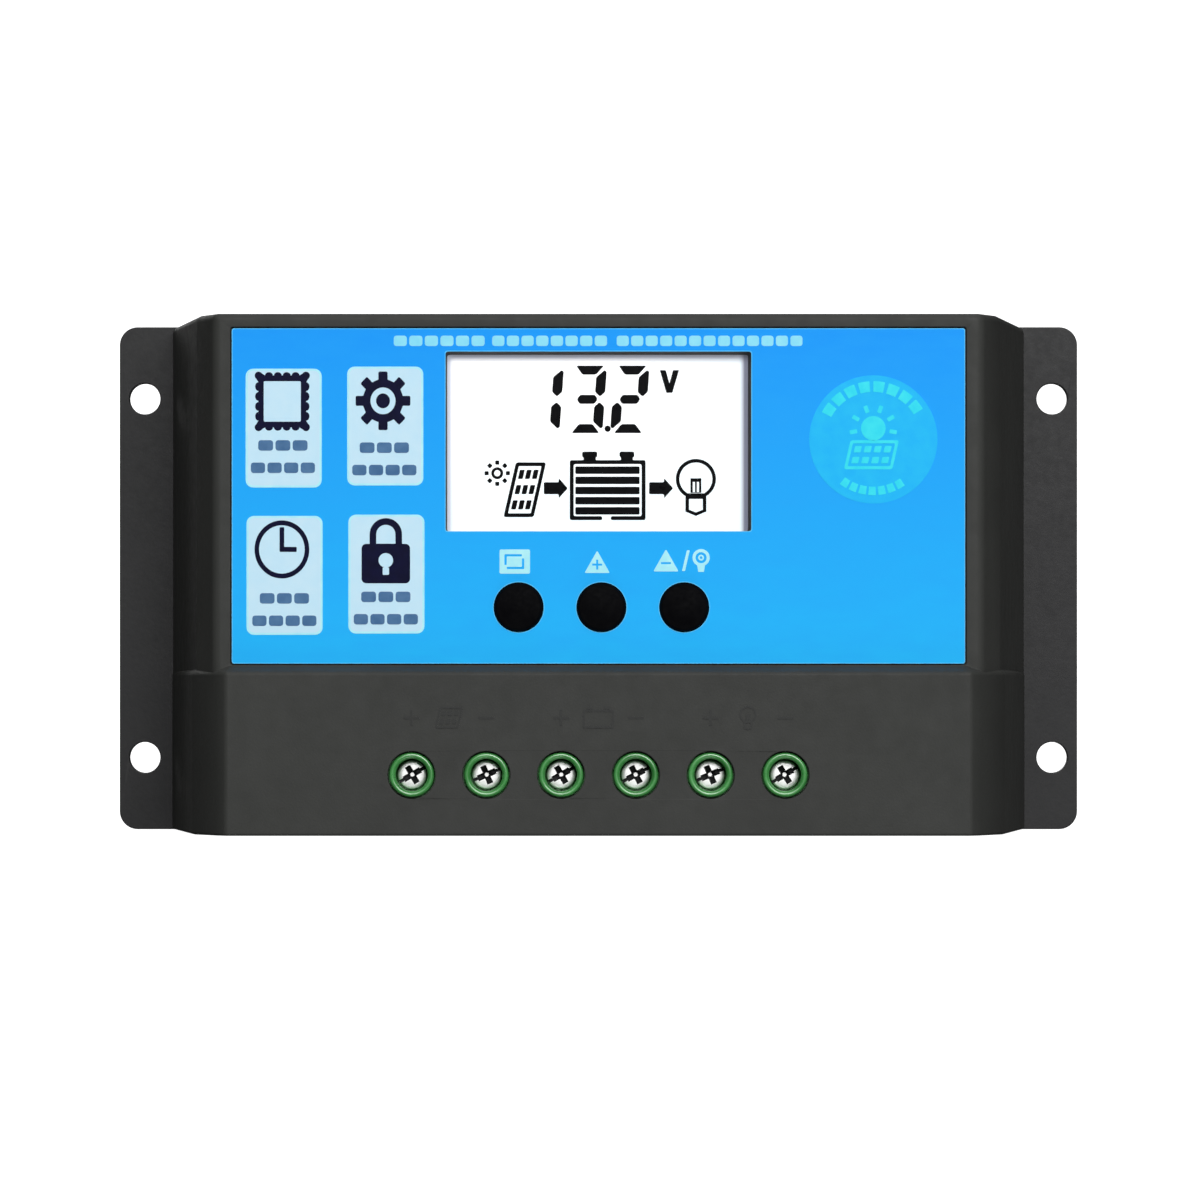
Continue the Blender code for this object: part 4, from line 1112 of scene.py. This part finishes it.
def driver_recess(location, rotation, twist, arm, half, depth, slot_reach=0.0):
    """Cutters for a tapering cross with a plated floor and walls painted dark as shade, and for a slot if it
    has a reach.
    """
    turn = (Euler(rotation).to_matrix() @ Euler((0, 0, twist)).to_matrix()).to_euler()
    rim, floor = plus(0, 0, arm, half), plus(0, 0, arm * 0.2, half * 0.38)
    cutters = [loft("driver_cross", [(plus(0, 0, arm * 1.1, half * 1.1), 1.0), (rim, 0.0), (floor, -depth)])]
    if slot_reach:
        cutters.append(bore("driver_slot", rectangle(-slot_reach, -0.22, slot_reach, 0.22), 1.0, -0.5))
    for cutter in cutters:
        cutter.data.transform(Euler(FACING_FRONT).to_matrix().to_4x4())
        # Recess walls get recess_shadow, a painted shade; the cross's floor keeps the plated metal.
        cutter.data.materials.append(SURFACES["recess"])
        cutter.data.materials.append(SURFACES["plated"])
        deepest = min(face.center.z for face in cutter.data.polygons)
        for face in cutter.data.polygons:
            is_floor = cutter.name.startswith("driver_cross") and face.center.z < deepest + 0.00001
            face.material_index = 1 if is_floor else 0
        cutter.location = Vector(location) * MM
        cutter.rotation_euler = turn
    return cutters


def threaded(radius, root, start, end, pitch):
    """The ridges down a screw's shank."""
    points, height = [], start
    while height - pitch > end:
        for ridge, share in ((radius, 0.12), (radius, 0.3), (root, 0.72)):
            points.append((ridge, height - pitch * share))
        height -= pitch
    return points


def clamp_screws():
    """Pan heads with a cross and a slot, each turned a little differently, on a threaded shank."""
    profile = [(0, 0), (1.35, -0.01), (1.68, -0.05), (1.85, -0.14), (1.93, -0.3), (1.95, -0.5), (1.95, -1.5)]
    profile += [(1.85, -1.6), (1.5, -1.6), *threaded(1.65, 1.38, -1.7, -9.4, 0.6)]
    profile += [(1.3, -9.7), (1.0, -10.1), (0, -10.1)]
    for way in WAYS:
        node = f"terminal_screw_{way}"
        place = (middle(node).x, low(node).y, middle(node).z)
        screw = turned(f"clamp_screw_{way}", profile, place)
        screw.data.materials.append(SURFACES["plated"])
        twist = math.radians(27 + 4 * math.sin(way * 2.3))
        screw = cut(screw, driver_recess(place, FACING_FRONT, twist, 1.3, 0.41, 0.95, 2.4))
        piece(screw, "plated", node, node)


def clamp_cages():
    """Boxes open through their height for the cable, with a threaded front wall for the screw."""
    for way in WAYS:
        node = f"clamp_cage_{way}"
        cage_low, cage_high, x = low(node), high(node), middle(node).x
        cage = round_edges(box(f"wire_cage_{way}", cage_low, cage_high), 0.7, 4)
        nut_y = cage_low.y + 1.2
        throat = rounded_box(x - 3.1, nut_y, x + 3.1, cage_high.y - 1.0, 0.3)
        opening = prism_up("opening", throat, cage_low.z - 1, cage_high.z + 1)
        thread = bore("thread", round_at(node, 1.75, 40), cage_low.y - 1, nut_y + 1)
        cage = round_edges(cut(cage, [opening, thread]), 0.08, 2, 50)
        piece(cage, "zinc", node, node)


def contact_bars():
    """Strips under the cables, each with a leg back to the board."""
    for way in WAYS:
        node = f"contact_bar_{way}"
        bar_low, bar_high, x = low(node), high(node), middle(node).x
        strip = box(f"busbar_{way}", bar_low, (bar_high.x, bar_low.y + 0.8, bar_high.z))
        leg_low = (x - 1.0, bar_low.y + 0.4, bar_high.z - 0.8)
        leg = box("leg", leg_low, (x + 1.0, bar_high.y, bar_high.z - 0.05))
        piece(round_edges(join(strip, [leg]), 0.12, 2, 50), "brass", node)


def terminal_symbols():
    """Low moulded signs over the clamps: plus, minus, and what each pair is for."""
    z, line = -19.2, 0.17
    shapes = []
    for way in WAYS:
        sign = plus if way % 2 else minus
        shapes.append(sign(middle(f"terminal_screw_{way}").x, z, 1.05, line))
    shapes += solar_panel(-21.9, z - 1.4, 3.2, 2.9, 0.28, 2, 3)
    battery = (-2.1, z - 1.4, 2.1, z + 1.1)
    shapes += [rounded_box(*battery, 0.25, 3), rounded_box(*grown(battery, -0.3), 0.15, 3)]
    shapes += [rectangle(side * 1.15 - 0.4, z + 1.14, side * 1.15 + 0.4, z + 1.5) for side in (-1, 1)]
    shapes += lamp_shapes(20, z + 0.45, 1.15, 0.26)[:4]
    piece(sheet("terminal_symbols", shapes, LOWER_FACE_Y - 0.09, 0.16), "symbol")


def plate_fixings():
    """Countersunk cross-head screws that hold the plate to the case."""
    head = [(0, 0), (2.6, 0), (2.75, -0.1), (2.75, -0.2), (1.4, -1.55)]
    shank = threaded(1.35, 1.0, -1.8, -8.8, 0.9) + [(0.9, -9.2), (0.25, -10), (0, -10)]
    for number in range(1, 5):
        node = f"plate_screw_{number}"
        place = (middle(node).x, high(node).y, middle(node).z)
        screw = turned(f"plate_fixing_{number}", head + shank, place, FACING_BACK, 48)
        screw.data.materials.append(SURFACES["black_steel"])
        screw = cut(screw, driver_recess(place, FACING_BACK, math.radians(23 * number), 1.45, 0.34, 1.1))
        piece(screw, "black_steel", node)


# ---- Parts inside the case keep their CAD shape and get their own finish ----


def inside_parts():
    black = moulded("moulded_epoxy", (0.018, 0.018, 0.019), (0.028, 0.028, 0.03), 0.45)
    switch = moulded("switch_plastic", (0.025, 0.025, 0.026), (0.035, 0.035, 0.036), 0.5)
    holder = moulded("holder_plastic", (0.78, 0.78, 0.76), (0.70, 0.70, 0.68), 0.5)
    sleeve = moulded("capacitor_sleeve", (0.012, 0.022, 0.075), (0.02, 0.03, 0.095), 0.32, 2.0, 0.004)
    pad = moulded("silicone_pad", (0.42, 0.48, 0.54), (0.52, 0.56, 0.6), 0.75, 0.4, 0.03)
    finishes = (
        (solder_mask(), ["main_board"]),
        (holder, ["display_holder"]),
        (pad, ["thermal_pad"]),
        (display_glass(), ["lcd_front_glass", "lcd_rear_glass"]),
        (backlight_acrylic(), ["backlight_panel", "backlight_lamp_left", "backlight_lamp_right"]),
        (SURFACES["brass"], ["display_pin_row"]),
        (sleeve, ["bulk_capacitor", "output_capacitor"]),
        (black, ["controller_chip", "regulator_chip", "clamp_diode", "mosfet_1", "mosfet_2", "mosfet_3"]),
        (SURFACES["zinc"], ["clock_crystal"]),
        (SURFACES["copper"], ["shunt_wire"]),
        (SURFACES["plated"], [f"board_screw_{number}" for number in range(1, 5)]),
        (switch, [f"switch_{name}_{part}" for name in BUTTONS for part in ("body", "stem")]),
    )
    for surface, nodes in finishes:
        for node in nodes:
            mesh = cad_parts[node].data
            mesh.materials.clear()
            mesh.materials.append(surface)


# ---- Stage, light and camera ----


def stage():
    """A pale floor that curves up all round into a plain backdrop."""
    profile = [(0, 0), (900, 0)] + arc(900, 900, 900, -90, 0, 14)[1:] + [(1800, 2600)]
    bowl = turned("pale_floor", profile, (0, 0, low("front_shell").z - 0.05), (0, 0, 0), 96)
    bowl.data.shade_smooth()
    made = Surface("floor_paint", specular=0.05)
    made.set("Roughness", 0.9)
    made.mottle(60, 2, (0.49, 0.49, 0.49), (0.51, 0.51, 0.51))
    made.set("Emission Color", (1, 1, 1))
    made.set("Emission Strength", 1.0)
    made.hide_back_faces()
    bowl.data.materials.append(made.material)
    bowl.visible_glossy = False
    bowl.visible_diffuse = False
    bowl.visible_shadow = False


def lights():
    """Broad soft light, most of it from the front and above. The places and sizes are in metres."""
    world = bpy.data.worlds.new("soft_room")
    world.use_nodes = True
    nodes, links = world.node_tree.nodes, world.node_tree.links
    background = nodes["Background"]
    background.inputs["Color"].default_value = (1, 1, 1, 1)
    seen = nodes.new("ShaderNodeLightPath")
    strength = nodes.new("ShaderNodeMapRange")
    strength.inputs["To Min"].default_value = 0.05
    strength.inputs["To Max"].default_value = 1.0
    links.new(seen.outputs["Is Camera Ray"], strength.inputs["Value"])
    links.new(strength.outputs["Result"], background.inputs["Strength"])
    bpy.context.scene.world = world
    for name, location, size, power in (
        ("front_key", (0.3, -1.3, 0.52), (0.9, 0.6), 13.5),
        ("front_fill", (-0.04, -1.2, 0.7), (0.9, 0.6), 6.8),
        ("top_light", (0.0, 0.1, 1.4), (1.2, 1.0), 7),
        ("back_light", (-0.4, 1.3, 0.6), (1.0, 0.8), 5),
        ("low_light", (0.2, -0.4, -1.3), (1.0, 0.8), 4.5),
    ):
        data = bpy.data.lights.new(name, "AREA")
        data.shape = "RECTANGLE"
        data.size, data.size_y = size
        data.energy = power
        towards_object = (-Vector(location)).to_track_quat("-Z", "Y").to_euler()
        add(name, data, Vector(location) / MM, towards_object)
    bpy.context.scene.view_settings.view_transform = "Standard"


def camera():
    """Square on to the front, 811 mm from the wall, a little below the object's middle, with a long lens."""
    data = bpy.data.cameras.new("camera")
    data.sensor_width = 36.0
    data.lens = 174.06
    data.shift_x = 0.0013
    data.shift_y = 0.0583
    bpy.context.scene.camera = add("camera", data, (0, -811, -12.8), FACING_FRONT)


case_front()
wall_plate()
faceplate()
display()
button_caps()
terminal_block()
clamp_screws()
clamp_cages()
contact_bars()
terminal_symbols()
plate_fixings()
inside_parts()
stage()
lights()
camera()
